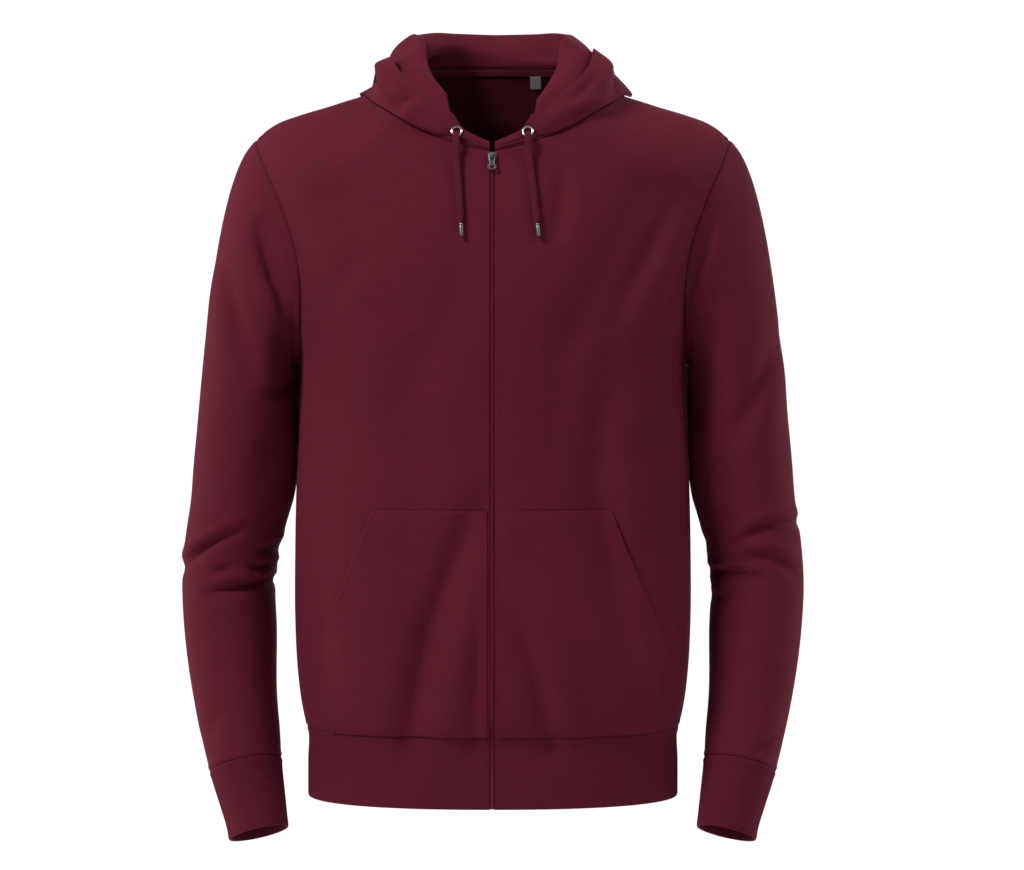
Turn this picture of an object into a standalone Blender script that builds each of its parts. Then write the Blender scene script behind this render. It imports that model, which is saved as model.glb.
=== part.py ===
"""A zip up hoodie in the hollow form that it has when worn, with no wearer in it.

Frame: metres, +X to the wearer's left, +Y to the wearer's back, +Z up. The origin is the middle of the
neck, level with the inner ends of the shoulder seams. Tables and named sizes are in millimetres.
Each piece of cloth is a surface worked out from the sections below. Its outer face lies on that surface,
and its inner face lies one thickness inside.
"""

import math

import bmesh
import bpy
import numpy as np
from mathutils import Matrix, Vector

MM = 0.001
HALF_GAP = 0.2  # half of the space between two pieces that are sewn together
CLOTH = 2.0  # brushed sweatshirt fleece
RIB = 2.4  # the rib of the cuffs and the hem band
TRIM = 1.0  # neck tape and label
LAID_ON = 0.9  # clear space under a piece that lies on another
TINY = 1e-4  # the step for a surface's slope
SHARP_ANGLE = math.radians(40)

# Each material: linear red, green and blue, roughness, and how metallic it is.
MATERIALS = {
    "fleece": (0.102, 0.011, 0.022, 0.95, 0),
    "rib": (0.095, 0.010, 0.020, 0.95, 0),
    "tape": (0.075, 0.009, 0.017, 0.9, 0),
    "woven_label": (0.42, 0.40, 0.41, 0.8, 0),
    "zip_tape": (0.085, 0.010, 0.019, 0.8, 0),
    "silver": (0.62, 0.62, 0.63, 0.28, 1),
    "cord": (0.092, 0.011, 0.021, 0.9, 0),
}


def material(name):
    """The named material, made when it is first asked for."""
    made = bpy.data.materials.get(name)
    if made is None:
        *colour, roughness, metallic = MATERIALS[name]
        made = bpy.data.materials.new(name)
        made.use_nodes = True
        sockets = made.node_tree.nodes["Principled BSDF"].inputs
        sockets["Base Color"].default_value = (*colour, 1)
        sockets["Roughness"].default_value = roughness
        sockets["Metallic"].default_value = metallic
    return made


def collection(name):
    made = bpy.data.collections.get(name)
    if made is None:
        made = bpy.data.collections.new(name)
        bpy.context.scene.collection.children.link(made)
    return made


def table(names, *rows):
    """A short table as a dict of its named columns."""
    return dict(zip(names.split(), np.array(rows, float).T))


# ---- the body ----------------------------------------------------------------------------------------

SQUARENESS = 2.35  # of each level section: 2 is an ellipse
ZIP_HALF = 2.4  # from the middle to each front edge
UNDERARM = -262.0
HEM_SEAM = -626.0
HEM_EDGE = -695.0
SHOULDER_Y = 8.0  # the shoulder seam lies this far behind the middle
SHOULDER_ROUND = 78.0  # the height over which chest and back turn to the shoulder seam
NECK_HALF = 130.0
# Where the columns lie between the middle and the neck's corner. The rest are even, to the armhole.
FRONT_NECK_PARTS = (0, 0.16, 0.32, 0.46, 0.61, 0.76, 0.88, 0.96, 1)
BACK_NECK_PARTS = (0, 0.13, 0.26, 0.39, 0.52, 0.65, 0.78, 0.9, 0.97, 1)
SHOULDER_COLUMNS = 6
ARMHOLE_ROWS = 10
BODY_ROWS = (-262, -300, -338, -374, -410, -446, -484, -522, -556, -584, -604, -617, -626)
POCKET_TOP_ROW = BODY_ROWS.index(-410)

FORM = table(
    "height half_width front back",
    (-700, 184, 125, 121),
    (-660, 184, 126, 122),
    (-630, 184, 126, 122),
    (-616, 188, 131, 126),
    (-600, 191, 136, 130),
    (-570, 194.5, 140, 131),
    (-520, 197, 140, 126),
    (-450, 197, 138, 117),
    (-380, 195.5, 138, 114),
    (-320, 193, 139, 118),
    (-262, 192, 140, 126),
    (-190, 207, 137, 132),
    (-121, 226, 125, 130),
    (-67, 244, 107, 120),
    (-44, 251, 97, 113),
    (-20, 257, 84, 106),
    (0, 261, 70, 99),
    (45, 266, 44, 84),
)
SHOULDER = table(
    "across height",
    (0, 120),
    (60, 62),
    (100, 25),
    (130, 2),
    (148, -4),
    (165, -9.5),
    (195, -18.5),
    (215, -26),
    (228, -34.5),
    (236, -42.5),
    (245, -55),
)
NECK_FRONT = table(
    "across height", (0, -66), (18, -62.5), (44, -55), (74, -42), (102, -23), (118, -11), (130, 2)
)
NECK_BACK = table("across height", (0, 41), (40, 40.5), (70, 37), (95, 26), (115, 13), (130, 2))
ARMHOLE = table(
    "height front back",
    (-262, 192, 192),
    (-250, 190, 191.5),
    (-225, 187.5, 191),
    (-190, 187, 193),
    (-150, 194, 200),
    (-121, 204, 208),
    (-100, 212, 215),
    (-70, 226, 227),
    (-44, 236, 236),
    (45, 236, 236),
)
# Each fold is a hollow (a ridge where depth is negative) along a line on the front or the back.
FOLDS = table(
    "back from_x from_z to_x to_z width depth",
    (0, 150, -105, 72, -255, 22, 7),
    (0, 72, -255, 66, -350, 20, 4),
    (0, -150, -115, -78, -230, 20, 4),
    (0, -78, -250, -70, -600, 24, 5),
    (0, 84, -380, 92, -600, 22, 3),
    (0, 112, -560, 150, -600, 16, 4),
    (1, 120, -120, 60, -300, 30, 6),
    (1, -120, -120, -60, -300, 30, 6),
    (1, 70, -400, 85, -610, 26, 6),
    (1, -60, -380, -80, -610, 26, 6),
)


def smooth(at, knots, values):
    """The smooth curve through the points (knots, values), read at each number in at."""
    at = np.clip(at, knots[0], knots[-1])
    slope = np.gradient(values, knots)
    i = np.clip(np.searchsorted(knots, at) - 1, 0, len(knots) - 2)
    step = knots[i + 1] - knots[i]
    t = (at - knots[i]) / step
    ends = values[i] * (1 + 2 * t) * (1 - t) ** 2 + values[i + 1] * t**2 * (3 - 2 * t)
    return ends + step * (slope[i] * t * (1 - t) ** 2 - slope[i + 1] * t**2 * (1 - t))


def folds(x, z, back):
    """How far inward the folds push the cloth at x and z."""
    total = np.zeros(np.broadcast(x, z).shape)
    for is_back, x0, z0, x1, z1, width, depth in np.array(list(FOLDS.values())).T:
        if bool(is_back) != back:
            continue
        long_x, long_z = x1 - x0, z1 - z0
        along = np.clip(((x - x0) * long_x + (z - z0) * long_z) / (long_x**2 + long_z**2), 0, 1)
        away = np.hypot(x - x0 - along * long_x, z - z0 - along * long_z)
        total = total + depth * np.exp(-((away / width) ** 2))
    return total


def body_y(x, z, back):
    """The body's y at x and z: a level section of the form, turned in to the shoulder seam near the top."""
    sign = 1 if back else -1
    half = smooth(z, FORM["height"], FORM["half_width"])
    depth = smooth(z, FORM["height"], FORM["back" if back else "front"])
    across = np.abs(x)
    level = (1 - np.clip(across / half, 0, 1) ** SQUARENESS) ** (1 / SQUARENESS)
    drop = (smooth(across, SHOULDER["across"], SHOULDER["height"]) - z) / SHOULDER_ROUND
    turn = np.sqrt(1 - (1 - np.clip(drop, 0, 1)) ** 2)
    inward = folds(x, z, back) * level * turn
    return SHOULDER_Y + turn * (sign * depth * level - SHOULDER_Y) - sign * inward + sign * HALF_GAP


def section_angle(across, z):
    half = smooth(z, FORM["height"], FORM["half_width"])
    return np.arcsin(np.clip(across / half, 0, 1) ** (SQUARENESS / 2))


def column_across(u, z, back):
    """How far column u (0 at the middle, 1 at the armhole or side seam) is from the middle at height z."""
    half = smooth(z, FORM["height"], FORM["half_width"])
    armhole = smooth(z, ARMHOLE["height"], ARMHOLE["back" if back else "front"])
    inner = section_angle(0.0 if back else ZIP_HALF, z)
    outer = section_angle(np.where(z > UNDERARM, armhole, half), z)
    neck_angle = section_angle(NECK_HALF, 0.0)
    first = section_angle(0.0 if back else ZIP_HALF, 0.0)
    last = section_angle(ARMHOLE["front"][-1], 0.0)
    neck_part = (neck_angle - first) / (last - first)
    neck = BACK_NECK_PARTS if back else FRONT_NECK_PARTS
    knots = np.append(np.arange(len(neck)) / (len(neck) - 1 + SHOULDER_COLUMNS), 1)
    part = np.interp(u, knots, np.append(np.array(neck) * neck_part, 1))
    return half * np.sin(inner + (outer - inner) * part) ** (2 / SQUARENESS)


def top_line(across, back):
    neck = NECK_BACK if back else NECK_FRONT
    on_neck = smooth(across, neck["across"], neck["height"])
    on_shoulder = smooth(across, SHOULDER["across"], SHOULDER["height"])
    return np.where(across < NECK_HALF, np.minimum(on_neck, on_shoulder), on_shoulder)


def body(u, v, back):
    """The body's surface. v is 0 at the neck and shoulder, 1 at the underarm, then counts the rows."""
    columns = np.abs(u)
    top = np.zeros(np.broadcast(u, v).shape)
    for _ in range(40):
        top = top_line(column_across(columns, top, back), back)
    above = top + (UNDERARM - top) * (1 - np.cos(np.pi * np.clip(v, 0, 1))) / 2
    below = np.interp(v, np.arange(len(BODY_ROWS)) + 1, BODY_ROWS)
    z = np.where(v < 1, above, below)
    x = np.sign(u) * column_across(columns, z, back)
    return np.stack([x, body_y(x, z, back), z], -1)


# ---- walls and solids --------------------------------------------------------------------------------

MIDDLE = np.array((0.0, 0.0, -350.0))
FLEECE = (CLOTH, "fleece")
RIBBING = (RIB, "rib")
BODY_V = np.append(np.arange(ARMHOLE_ROWS) / ARMHOLE_ROWS, np.arange(len(BODY_ROWS)) + 1)
FRONT_U = np.linspace(0, 1, len(FRONT_NECK_PARTS) + SHOULDER_COLUMNS)
BACK_U = np.linspace(0, 1, len(BACK_NECK_PARTS) + SHOULDER_COLUMNS)


def back_panel(u, v):
    return body(u, v, True)


def slope_normal(surface, u, v, limits):
    """The unit normal of a surface, from the steps to its close neighbours inside the limits of u and v."""
    u0, u1, v0, v1 = limits
    along_u = surface(np.minimum(u + TINY, u1), v) - surface(np.maximum(u - TINY, u0), v)
    along_v = surface(u, np.minimum(v + TINY, v1)) - surface(u, np.maximum(v - TINY, v0))
    normal = np.cross(along_v, along_u)
    return normal / np.linalg.norm(normal, axis=-1, keepdims=True)


def add_object(name, shape, surface, place=None):
    """A smooth shaded object from a bmesh, which it uses up, with its faces turned outward."""
    bmesh.ops.recalc_face_normals(shape, faces=shape.faces)
    if shape.calc_volume(signed=True) < 0:
        bmesh.ops.reverse_faces(shape, faces=shape.faces)
    mesh = bpy.data.meshes.new(name)
    shape.to_mesh(mesh)
    shape.free()
    mesh.shade_smooth()
    mesh.set_sharp_from_angle(angle=SHARP_ANGLE)
    mesh.materials.append(material(surface))
    made = bpy.data.objects.new(name, mesh)
    if place is not None:
        made.matrix_world = place
    collection("zip_up_hoodie").objects.link(made)
    return made


def add_mesh(name, points, faces, surface):
    """A closed object from points in millimetres."""
    shape = bmesh.new()
    corners = [shape.verts.new(point) for point in (np.asarray(points) * MM).tolist()]
    for face in faces:
        shape.faces.new([corners[int(i)] for i in face])
    return add_object(name, shape, surface)


def wall(name, outer, inner, surface, ring=False):
    """The solid between two grids of points. With ring, each row closes on itself."""
    rows, columns = outer.shape[:2]
    count = rows * columns
    index = np.arange(count).reshape(rows, columns)
    if ring:
        index = np.hstack([index, index[:, :1]])
    faces = []
    for top, bottom in zip(index[:-1], index[1:]):
        for a, b, c, d in zip(top[:-1], top[1:], bottom[1:], bottom[:-1]):
            faces.append((a, b, c, d))
            faces.append((d + count, c + count, b + count, a + count))
    edges = [index[0], index[-1][::-1]]
    if not ring:
        edges += [index[::-1, 0], index[:, -1]]
    for edge in edges:
        for a, b in zip(edge[:-1], edge[1:]):
            faces.append((b, a, a + count, b + count))
    points = np.vstack([outer.reshape(-1, 3), inner.reshape(-1, 3)])
    return add_mesh(name, points, faces, surface)


def cloth(name, shape, across, down, limits=None, outward=MIDDLE, wall_of=FLEECE, lift=0.0, ring=False):
    """A wall of cloth on a surface, moved outward by lift. Its outside faces away from the point outward."""
    thickness, surface = wall_of
    u, v = np.meshgrid(across, down)
    limits = limits or (min(across), max(across), min(down), max(down))
    points = shape(u, v)
    normal = slope_normal(shape, u, v, limits)
    normal = normal * np.sign(((points - outward) * normal).sum(-1).mean())
    return wall(name, points + normal * lift, points + normal * (lift - thickness), surface, ring)


def sided(name, side):
    return name + ("_left" if side > 0 else "_right")


def mirrored(surface, side):
    """The same surface on the wearer's left (1) or right (-1)."""
    return lambda u, v: surface(u, v) * (side, 1, 1)


# ---- sleeves and cuffs -------------------------------------------------------------------------------

# A ring of the sleeve at each height: its middle, half width and half depth, how far it tips forward, and
# how steeply it falls toward the outside of the arm.
SLEEVE = table(
    "height middle depth half_width half_depth tip slant",
    (-330, 245.5, 2, 50, 66, 2, 0),
    (-365, 248.2, 4, 50.7, 65, 2, 0),
    (-400, 251.2, 6, 50.7, 63, 2, 0),
    (-445, 260.5, 8, 48, 61, 4, 0),
    (-483, 264.5, 6, 46.5, 58, 9, 0),
    (-530, 262, -3, 46, 55, 14, 0.02),
    (-598, 255.2, -20, 41, 50, 16, 0.09),
    (-640, 247.5, -32, 37.5, 46, 16, 0.18),
    (-662, 243.5, -38.5, 35, 43, 16, 0.22),
)
CUFF = table(
    "height middle depth half_width half_depth tip slant",
    (-662.6, 243.3, -38.7, 35, 43, 16, 0.22),
    (-673, 241, -42, 34, 41, 16, 0.22),
    (-695, 235.5, -49, 31.5, 37.5, 16, 0.23),
    (-718, 230, -56.5, 29.2, 35, 16, 0.24),
    (-727, 228.5, -59, 29, 34.5, 16, 0.24),
)
SLEEVE_FROM = 1.2  # the sleeve's v where its armhole part ends and its rings begin
SLEEVE_SWING = 0.47  # how strongly the sleeve leaves the armhole outward
SLEEVE_ROWS = np.append((0, 0.05, 0.14, 0.26, 0.4, 0.56, 0.74, 0.92, 1.08), np.linspace(SLEEVE_FROM, 3, 15))
SLEEVE_TURNS = np.arange(2 * ARMHOLE_ROWS) / (2 * ARMHOLE_ROWS)
CUFF_ROWS = np.linspace(0, 1, 5)
ARM = (248.0, 0.0, -400.0)
HAND = (236.0, -48.0, -690.0)
ALL_ROUND = (-1e9, 1e9)
# Creases across the sleeve: heights on the outside and the inside of the arm, the turn that each is
# centred on (0 outside, 0.25 in front), how far round it reaches, its width and its depth.
CREASES = table(
    "height_outside height_inside centre reach width depth",
    (-436, -452, 0.25, 0.22, 9, 5),
    (-472, -480, 0.3, 0.3, 8, 5),
    (-500, -492, 0.3, 0.26, 9, 4),
    (-575, -560, 0.2, 0.2, 14, 2.5),
    (-610, -625, 0.28, 0.22, 10, 2.5),
    (-330, -300, 0.28, 0.16, 16, 3),
)


def unit(vector):
    return vector / np.linalg.norm(vector, axis=-1, keepdims=True)


def armhole(turn):
    """The armhole's edge. turn is 0 at the shoulder, 0.25 in front, 0.5 at the underarm and 0.75 behind."""
    z = SHOULDER["height"][-2] + (UNDERARM - SHOULDER["height"][-2]) * (1 - np.cos(2 * np.pi * turn)) / 2
    front = smooth(z, ARMHOLE["height"], ARMHOLE["front"])
    back = smooth(z, ARMHOLE["height"], ARMHOLE["back"])
    in_front = turn <= 0.5
    x = np.where(in_front, front, back)
    y = np.where(in_front, body_y(x, z, False), body_y(x, z, True))
    return np.stack([x + 2 * HALF_GAP, y, z], -1)


def ring_point(rings, turn, v):
    """A point of a tube given by a table of rings: turn goes round it, and v from the first to the last."""
    height = rings["height"][0] + (rings["height"][-1] - rings["height"][0]) * v
    ring = {name: smooth(-height, -rings["height"], rings[name]) for name in rings}
    angle = 2 * np.pi * turn
    forward = -ring["half_depth"] * np.sin(angle)
    tilt = np.radians(ring["tip"])
    out = ring["half_width"] * np.cos(angle)
    z = height - forward * np.sin(tilt) - ring["slant"] * out
    return np.stack([ring["middle"] + out, ring["depth"] + forward * np.cos(tilt), z], -1)


def sleeve(turn, v):
    """The sleeve: from the armhole's edge (v 0) it swings out to the first ring, then follows the rings."""
    turn = turn % 1.0
    t = np.clip(v / SLEEVE_FROM, 0, 1)
    start = armhole(turn)
    end = ring_point(SLEEVE, turn, 0 * turn)
    slope = (ring_point(SLEEVE, turn, 0.01 + 0 * turn) - end) * 100
    top = ((1 + np.cos(2 * np.pi * turn)) / 2)[..., None]
    leave = unit(top * np.array((0.84, 0, -0.54)) + (1 - top) * np.array((0.42, 0, -0.9)))
    length = np.linalg.norm(end - start, axis=-1, keepdims=True)
    t = t[..., None]
    first = start * (1 + 2 * t) * (1 - t) ** 2 + end * t**2 * (3 - 2 * t)
    swing = SLEEVE_SWING * leave * t * (1 - t) ** 2 - 0.8 * unit(slope) * t**2 * (1 - t)
    first = first + length * swing
    rest = ring_point(SLEEVE, turn, np.clip((v - SLEEVE_FROM) / (3 - SLEEVE_FROM), 0, 1))
    points = np.where(v[..., None] < SLEEVE_FROM, first, rest)
    return points + crease_shift(turn, points)


def crease_shift(turn, points):
    """The creases push the sleeve in toward its middle line."""
    z = points[..., 2]
    line = [smooth(-z, -SLEEVE["height"], SLEEVE[name]) for name in ("middle", "depth")]
    inward = unit(np.stack([*line, z], -1) - points)
    total = np.zeros(z.shape)
    for outside, inside, centre, reach, width, depth in np.array(list(CREASES.values())).T:
        part = (1 - np.cos(2 * np.pi * turn)) / 2
        height = outside + (inside - outside) * part
        away = (turn - centre + 0.5) % 1.0 - 0.5
        total = total + depth * np.exp(-(((z - height) / width) ** 2) - (away / reach) ** 2)
    fade = np.clip((-z - 250) / 60, 0, 1) * np.clip((z + 655) / 20, 0, 1)
    return inward * (total * fade)[..., None]


def cuff(turn, v):
    return ring_point(CUFF, turn % 1.0, v)


# ---- hood --------------------------------------------------------------------------------------------

# Sections of one half of the hood, at angles round the neck from the middle of the front. In each, the
# cloth stands up from the neck seam, rolls outward, falls, folds up again and swells out to the face edge
# (the rim). Each pair of columns is a distance from the neck's middle line and a height. lean is how far it
# leaves the seam inward, for a rise of 1.
HOOD = table(
    "angle lean stand_r stand_z roll_r roll_z fall_r fall_z waist_r waist_z swell_r swell_z rim_r rim_z",
    (0, 0.1, 105.6, -64.2, 105.5, -63.7, 105.4, -63.2, 105, -61.5, 104.4, -59.3, 103.8, -57),
    (9, 0.1, 106.9, -59.3, 106.8, -58.7, 106.7, -58.1, 106.2, -56, 105.4, -53, 104.6, -50),
    (17, 0.15, 107.8, -54.3, 107.6, -53.5, 107.5, -52.8, 106.9, -50, 105.7, -45.5, 104.5, -41),
    (21, 0.2, 108.2, -51.4, 108, -50.6, 107.9, -50, 107.6, -45.5, 106, -37, 104.5, -29.5),
    (26, 0.22, 107.5, -42, 100.5, -17, 103.5, -19, 114.5, -45, 112.5, -35, 106, -24.5),
    (31, 0.25, 107, -36, 94, -9, 100, -10, 117.5, -42, 116, -30, 107, -18),
    (40, 0.3, 104, -24, 86, 3, 98, 2, 124, -33, 123, -18, 109, -3),
    (52, 0.45, 98, -6, 79.5, 18, 93, 19, 130, -18, 129, -2, 113, 15),
    (66, 0.6, 92, 5, 73.5, 34, 90, 34, 127, 1, 126, 16, 107, 34),
    (80, 0.75, 86, 16, 70, 52, 91, 46, 121, 13, 121, 29, 102, 46),
    (94, 0.75, 86, 24, 73, 59, 93, 48, 119, 15, 121, 30, 101, 48),
    (108, 0.65, 89, 32, 80, 64, 102, 49, 128, 12, 130, 26, 106, 46),
    (120, 0.55, 91, 39, 87, 67, 114, 42, 150, -4, 147, 11, 120, 39),
    (132, 0.5, 91, 45, 95, 71, 128, 28, 178, -36, 176, -16, 137, 34),
    (142, 0.45, 90, 49, 99, 74, 127, 8, 184, -90, 188, -55, 144, 32),
    (153, 0.4, 88, 53, 102, 75, 132, -8, 190, -134, 200, -85, 152, 31),
    (166, 0.35, 86, 55, 104, 76, 135, -16, 195, -160, 207, -103, 158, 31),
    (180, 0.35, 85, 56, 104, 76, 136, -19, 197, -167, 210, -109, 160, 31),
)
# The lowest turn of the cloth in each section, out and up from the seam, and the hanging part's spread.
HOOD_FOLD = table(
    "angle out up spread",
    (0, -1.3, 2.7, 1),
    (9, -1.2, 4.2, 1),
    (17, -1.5, 6.3, 1),
    (21, -1.9, 6, 1),
    (26, 0, 2.6, 1),
    (31, 2, 2.2, 1),
    (40, 2.6, 1.8, 1),
    (52, 3, 1.8, 1),
    (80, 4, 2, 1),
    (94, 6, 2, 1),
    (108, 9, 2.5, 1),
    (120, 28, -12, 1),
    (132, 66, -66, 1.06),
    (142, 72, -132, 1.17),
    (153, 77, -186, 1.31),
    (166, 83, -219, 1.42),
    (180, 85, -230, 1.46),
)
# What the right half has in place of the left half's numbers, as differences.
HOOD_RIGHT = table(
    "angle stand_r stand_z roll_r roll_z fall_r fall_z fold_r waist_r waist_z swell_r rim_z",
    (0, 0, 0, 0, 0, 0, 0, 0, 0, 0, 0, 0),
    (56, 0, 0, 0, 0, 0, 0, 0, 0, 0, 0, 0),
    (80, 0, 0, 0, 0, 12, -29, -3, -8, 6, -2, -7),
    (94, -5, 4, 2, 0, 12, -27, -5, -9, 6, -2, -9),
    (108, -14, 9, 3, 1, 6, -10, -3, -13, 12, -3, -8),
    (122, -18, 10, 3, 0, 5, 10, 0, -3, 4, 0, 0),
    (136, -17, 10, 1, 0, 2, 10, 0, 0, 0, 0, 0),
    (150, -11, 8, -3, 0, 0, 4, 0, 0, 0, 0, 0),
    (164, -4, 3, -2, 0, 0, 0, 0, 0, 0, 0, 0),
    (180, 0, 0, 0, 0, 0, 0, 0, 0, 0, 0, 0),
)
HOOD_PARTS = ("stand", "roll", "fall", "fold", "waist", "swell", "rim")
HOOD_STEPS = (1, 4, 4, 4, 5, 2, 3, 4)  # rows from each knot of a section to the next
FOOT = 5.0  # how far the cloth first rises straight from the seam
CORNER_ANGLE = 98  # where the shoulder seam ends and the neck seam turns
CORNER_LIFT = 1.4  # how much further the hood stands off its seam there


def neck_edge():
    """Half of the neck seam, at the columns of the front and the back, and its angles round the neck."""
    front_u = FRONT_U[: len(FRONT_NECK_PARTS)]
    back_u = BACK_U[len(BACK_NECK_PARTS) - 1 :: -1]
    front = body(front_u, 0 * front_u, False)
    back = body(back_u, 0 * back_u, True)
    middle = (front[-1] + back[0]) / 2
    edge = np.vstack([front[:-1], middle[None], back[1:]])
    edge[-1, 0] = HALF_GAP
    return edge, np.degrees(np.arctan2(edge[:, 0], -edge[:, 1]))


NECK_EDGE, NECK_ANGLE = neck_edge()


def hood(u, v, side):
    """u counts the columns of the neck seam from the front, and v the knots of a section, seam to rim."""
    count = np.arange(len(NECK_EDGE))
    angle = np.interp(u, count, NECK_ANGLE)
    seam = np.stack([np.interp(u, count, NECK_EDGE[:, axis]) for axis in range(3)], -1)
    out = np.stack([np.sin(np.radians(angle)), -np.cos(np.radians(angle)), 0 * angle], -1)
    of_angle = {name: smooth(angle, HOOD["angle"], HOOD[name]) for name in HOOD}
    fold = {name: smooth(angle, HOOD_FOLD["angle"], HOOD_FOLD[name]) for name in HOOD_FOLD}
    of_angle["fold_r"] = np.hypot(seam[..., 0], seam[..., 1]) + fold["out"]
    of_angle["fold_z"] = seam[..., 2] + fold["up"]
    if side < 0:
        for name in list(HOOD_RIGHT)[1:]:
            of_angle[name] = of_angle[name] + smooth(angle, HOOD_RIGHT["angle"], HOOD_RIGHT[name])
    leave = unit(np.array((0, 0, 1)) - of_angle["lean"][..., None] * out)
    length = np.clip(angle / 25, 0.12, 1)[..., None]
    start = 2 * HALF_GAP + CORNER_LIFT * np.exp(-(((angle - CORNER_ANGLE) / 14) ** 2))
    knots = [seam + start[..., None] * leave, seam + FOOT * length * leave]
    for part in HOOD_PARTS:
        knot = of_angle[part + "_r"][..., None] * out
        if part in ("fold", "waist", "swell"):
            knot[..., 0] *= fold["spread"]
        knot[..., 2] = of_angle[part + "_z"]
        knots.append(knot)
    points = spline(np.stack(knots), v)
    points[..., 0] = np.maximum(points[..., 0], HALF_GAP)
    return points * (side, 1, 1)


def spline(knots, v):
    """Smooth curves through knots (the first axis), each read at v, which counts the knots."""
    chords = np.diff(knots, axis=0)
    steps = np.linalg.norm(chords, axis=-1, keepdims=True) ** 0.6
    speed = chords / steps
    inner = (speed[:-1] * steps[1:] + speed[1:] * steps[:-1]) / (steps[:-1] + steps[1:])
    slopes = np.concatenate([speed[:1], inner, speed[-1:]])
    points = np.array(knots[0])
    for i, step in enumerate(steps):
        t = np.clip(v - i, 0, 1)[..., None]
        here = knots[i] * (1 + 2 * t) * (1 - t) ** 2 + knots[i + 1] * t**2 * (3 - 2 * t)
        here = here + step * (slopes[i] * t * (1 - t) ** 2 - slopes[i + 1] * t**2 * (1 - t))
        points = np.where((v >= i)[..., None], here, points)
    return points


def hood_half(side):
    """Half of the hood, open at the front edge and parted from the other half at the middle of the back."""
    rows = [part + np.arange(steps) / steps for part, steps in enumerate(HOOD_STEPS)]
    rows = np.append(np.concatenate(rows), len(HOOD_STEPS))
    u, v = np.meshgrid(np.arange(len(NECK_EDGE), dtype=float), rows)

    def half(a, b):
        return hood(a, b, side)

    points = half(u, v)
    normal = slope_normal(half, u, v, (0, len(NECK_EDGE) - 1, 0, len(HOOD_STEPS)))
    middle = unit(points[0] - np.array((0, 0, points[0, :, 2].mean())))
    normal = normal * np.sign((normal[0] * middle).sum(-1).mean())
    inner = points - normal * CLOTH
    inner[:, -1, 0] = side * HALF_GAP
    inner[:, 0, 0] = side * np.maximum(np.abs(inner[:, 0, 0]), ZIP_HALF * 0.6)
    return wall(sided("hood", side), points, inner, "fleece")


# ---- pieces that lie on the panels -------------------------------------------------------------------

POCKET = table("height inner outer", (-410, 9, 114.5), (-534, 9, 163), (-560, 9, 162), (-626, 9, 154))
POCKET_COLUMNS = 8
POCKET_SWELL = 2.6


def pocket(side):
    """A pocket on its front: it lies flat along its top, zip side and bottom, and its opening stands off."""
    v = BODY_V[ARMHOLE_ROWS + POCKET_TOP_ROW :]
    z = np.array(BODY_ROWS[POCKET_TOP_ROW:], float)
    part = np.linspace(0, 1, POCKET_COLUMNS + 1)
    inner = np.interp(-z, -POCKET["height"], POCKET["inner"])
    outer = np.interp(-z, -POCKET["height"], POCKET["outer"])
    x = inner[:, None] + (outer - inner)[:, None] * part
    z = np.repeat(z[:, None], len(part), 1)
    down = (z - z[0, 0]) / (z[-1, 0] - z[0, 0])

    def front(a, b):
        return np.stack([side * a, body_y(a * side, b, False), b], -1)

    points = front(x, z)
    normal = slope_normal(front, x, z, (0, 190, -640, -300))
    normal = normal * -np.sign(normal[..., 1:2])
    swell = POCKET_SWELL * np.sin(np.pi * down) * np.sin(np.pi * 0.5 * part) ** 2 * (1 - 0.35 * part)
    lift = (LAID_ON + swell)[..., None]
    return wall(sided("pocket", side), points + normal * (lift + CLOTH), points + normal * lift, "fleece")


NECK_TAPE_COLUMNS = 5
NECK_TAPE_V = (0.045, 0.1)  # its upper and lower edges, in the back's own v
LABEL_X = (39.5, 51.0)
LABEL_Z = (33.5, 22.0)
LABEL_CLEAR = 1.2  # from the tape to the label


def inside_back(x, z):
    return np.stack([x, body_y(x, z, True), z], -1)


def neck_trim():
    """The tape under the neck seam inside the back, and the bare label that hangs over it."""
    half = BACK_U[: NECK_TAPE_COLUMNS + 1]
    across = np.append(-half[:0:-1], half)
    lift = -CLOTH - LAID_ON
    cloth("neck_tape", back_panel, across, NECK_TAPE_V, (-1, 1, 0, 1), wall_of=(TRIM, "tape"), lift=lift)
    edges = (*LABEL_X, LABEL_Z[1], LABEL_Z[0])
    lift = lift - TRIM - LABEL_CLEAR
    across = np.linspace(*LABEL_X, 4)
    cloth("size_label", inside_back, across, LABEL_Z, edges, wall_of=(TRIM, "woven_label"), lift=lift)


# ---- hem band ----------------------------------------------------------------------------------------

HEM_U = np.concatenate([FRONT_U, 2 - BACK_U[-2::-1], 2 + BACK_U[1:], 4 - FRONT_U[-2::-1]])
HEM_V = np.linspace(0, 1, 4)


def hem(u, v):
    """The hem band. u is 0 to 1 over the left front, 1 to 3 over the back, 3 to 4 over the right front."""
    back = np.abs(u - 2) < 1
    z = HEM_SEAM - 2 * HALF_GAP + (HEM_EDGE - HEM_SEAM + 2 * HALF_GAP) * v
    front_x = np.sign(2 - u) * column_across(np.minimum(u, 4 - u) % 4, z, False)
    back_x = np.sign(2 - u) * column_across(np.abs(u - 2), z, True)
    x = np.where(back, back_x, front_x)
    y = np.where(back, body_y(x, z, True) - HALF_GAP, body_y(x, z, False) + HALF_GAP)
    return np.stack([x, y, z], -1)


# ---- zip ---------------------------------------------------------------------------------------------

ZIP_TOP = -68.5
# One half of the zip in section: distance from the middle, and depth behind the face of the front.
ZIP_SECTION = np.array(((0.25, 0.5), (1.8, 0.5), (1.8, 3.2), (11.0, 3.2), (11.0, 4.2), (0.25, 4.2)))
SLIDER_TOP = -68.0
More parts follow.
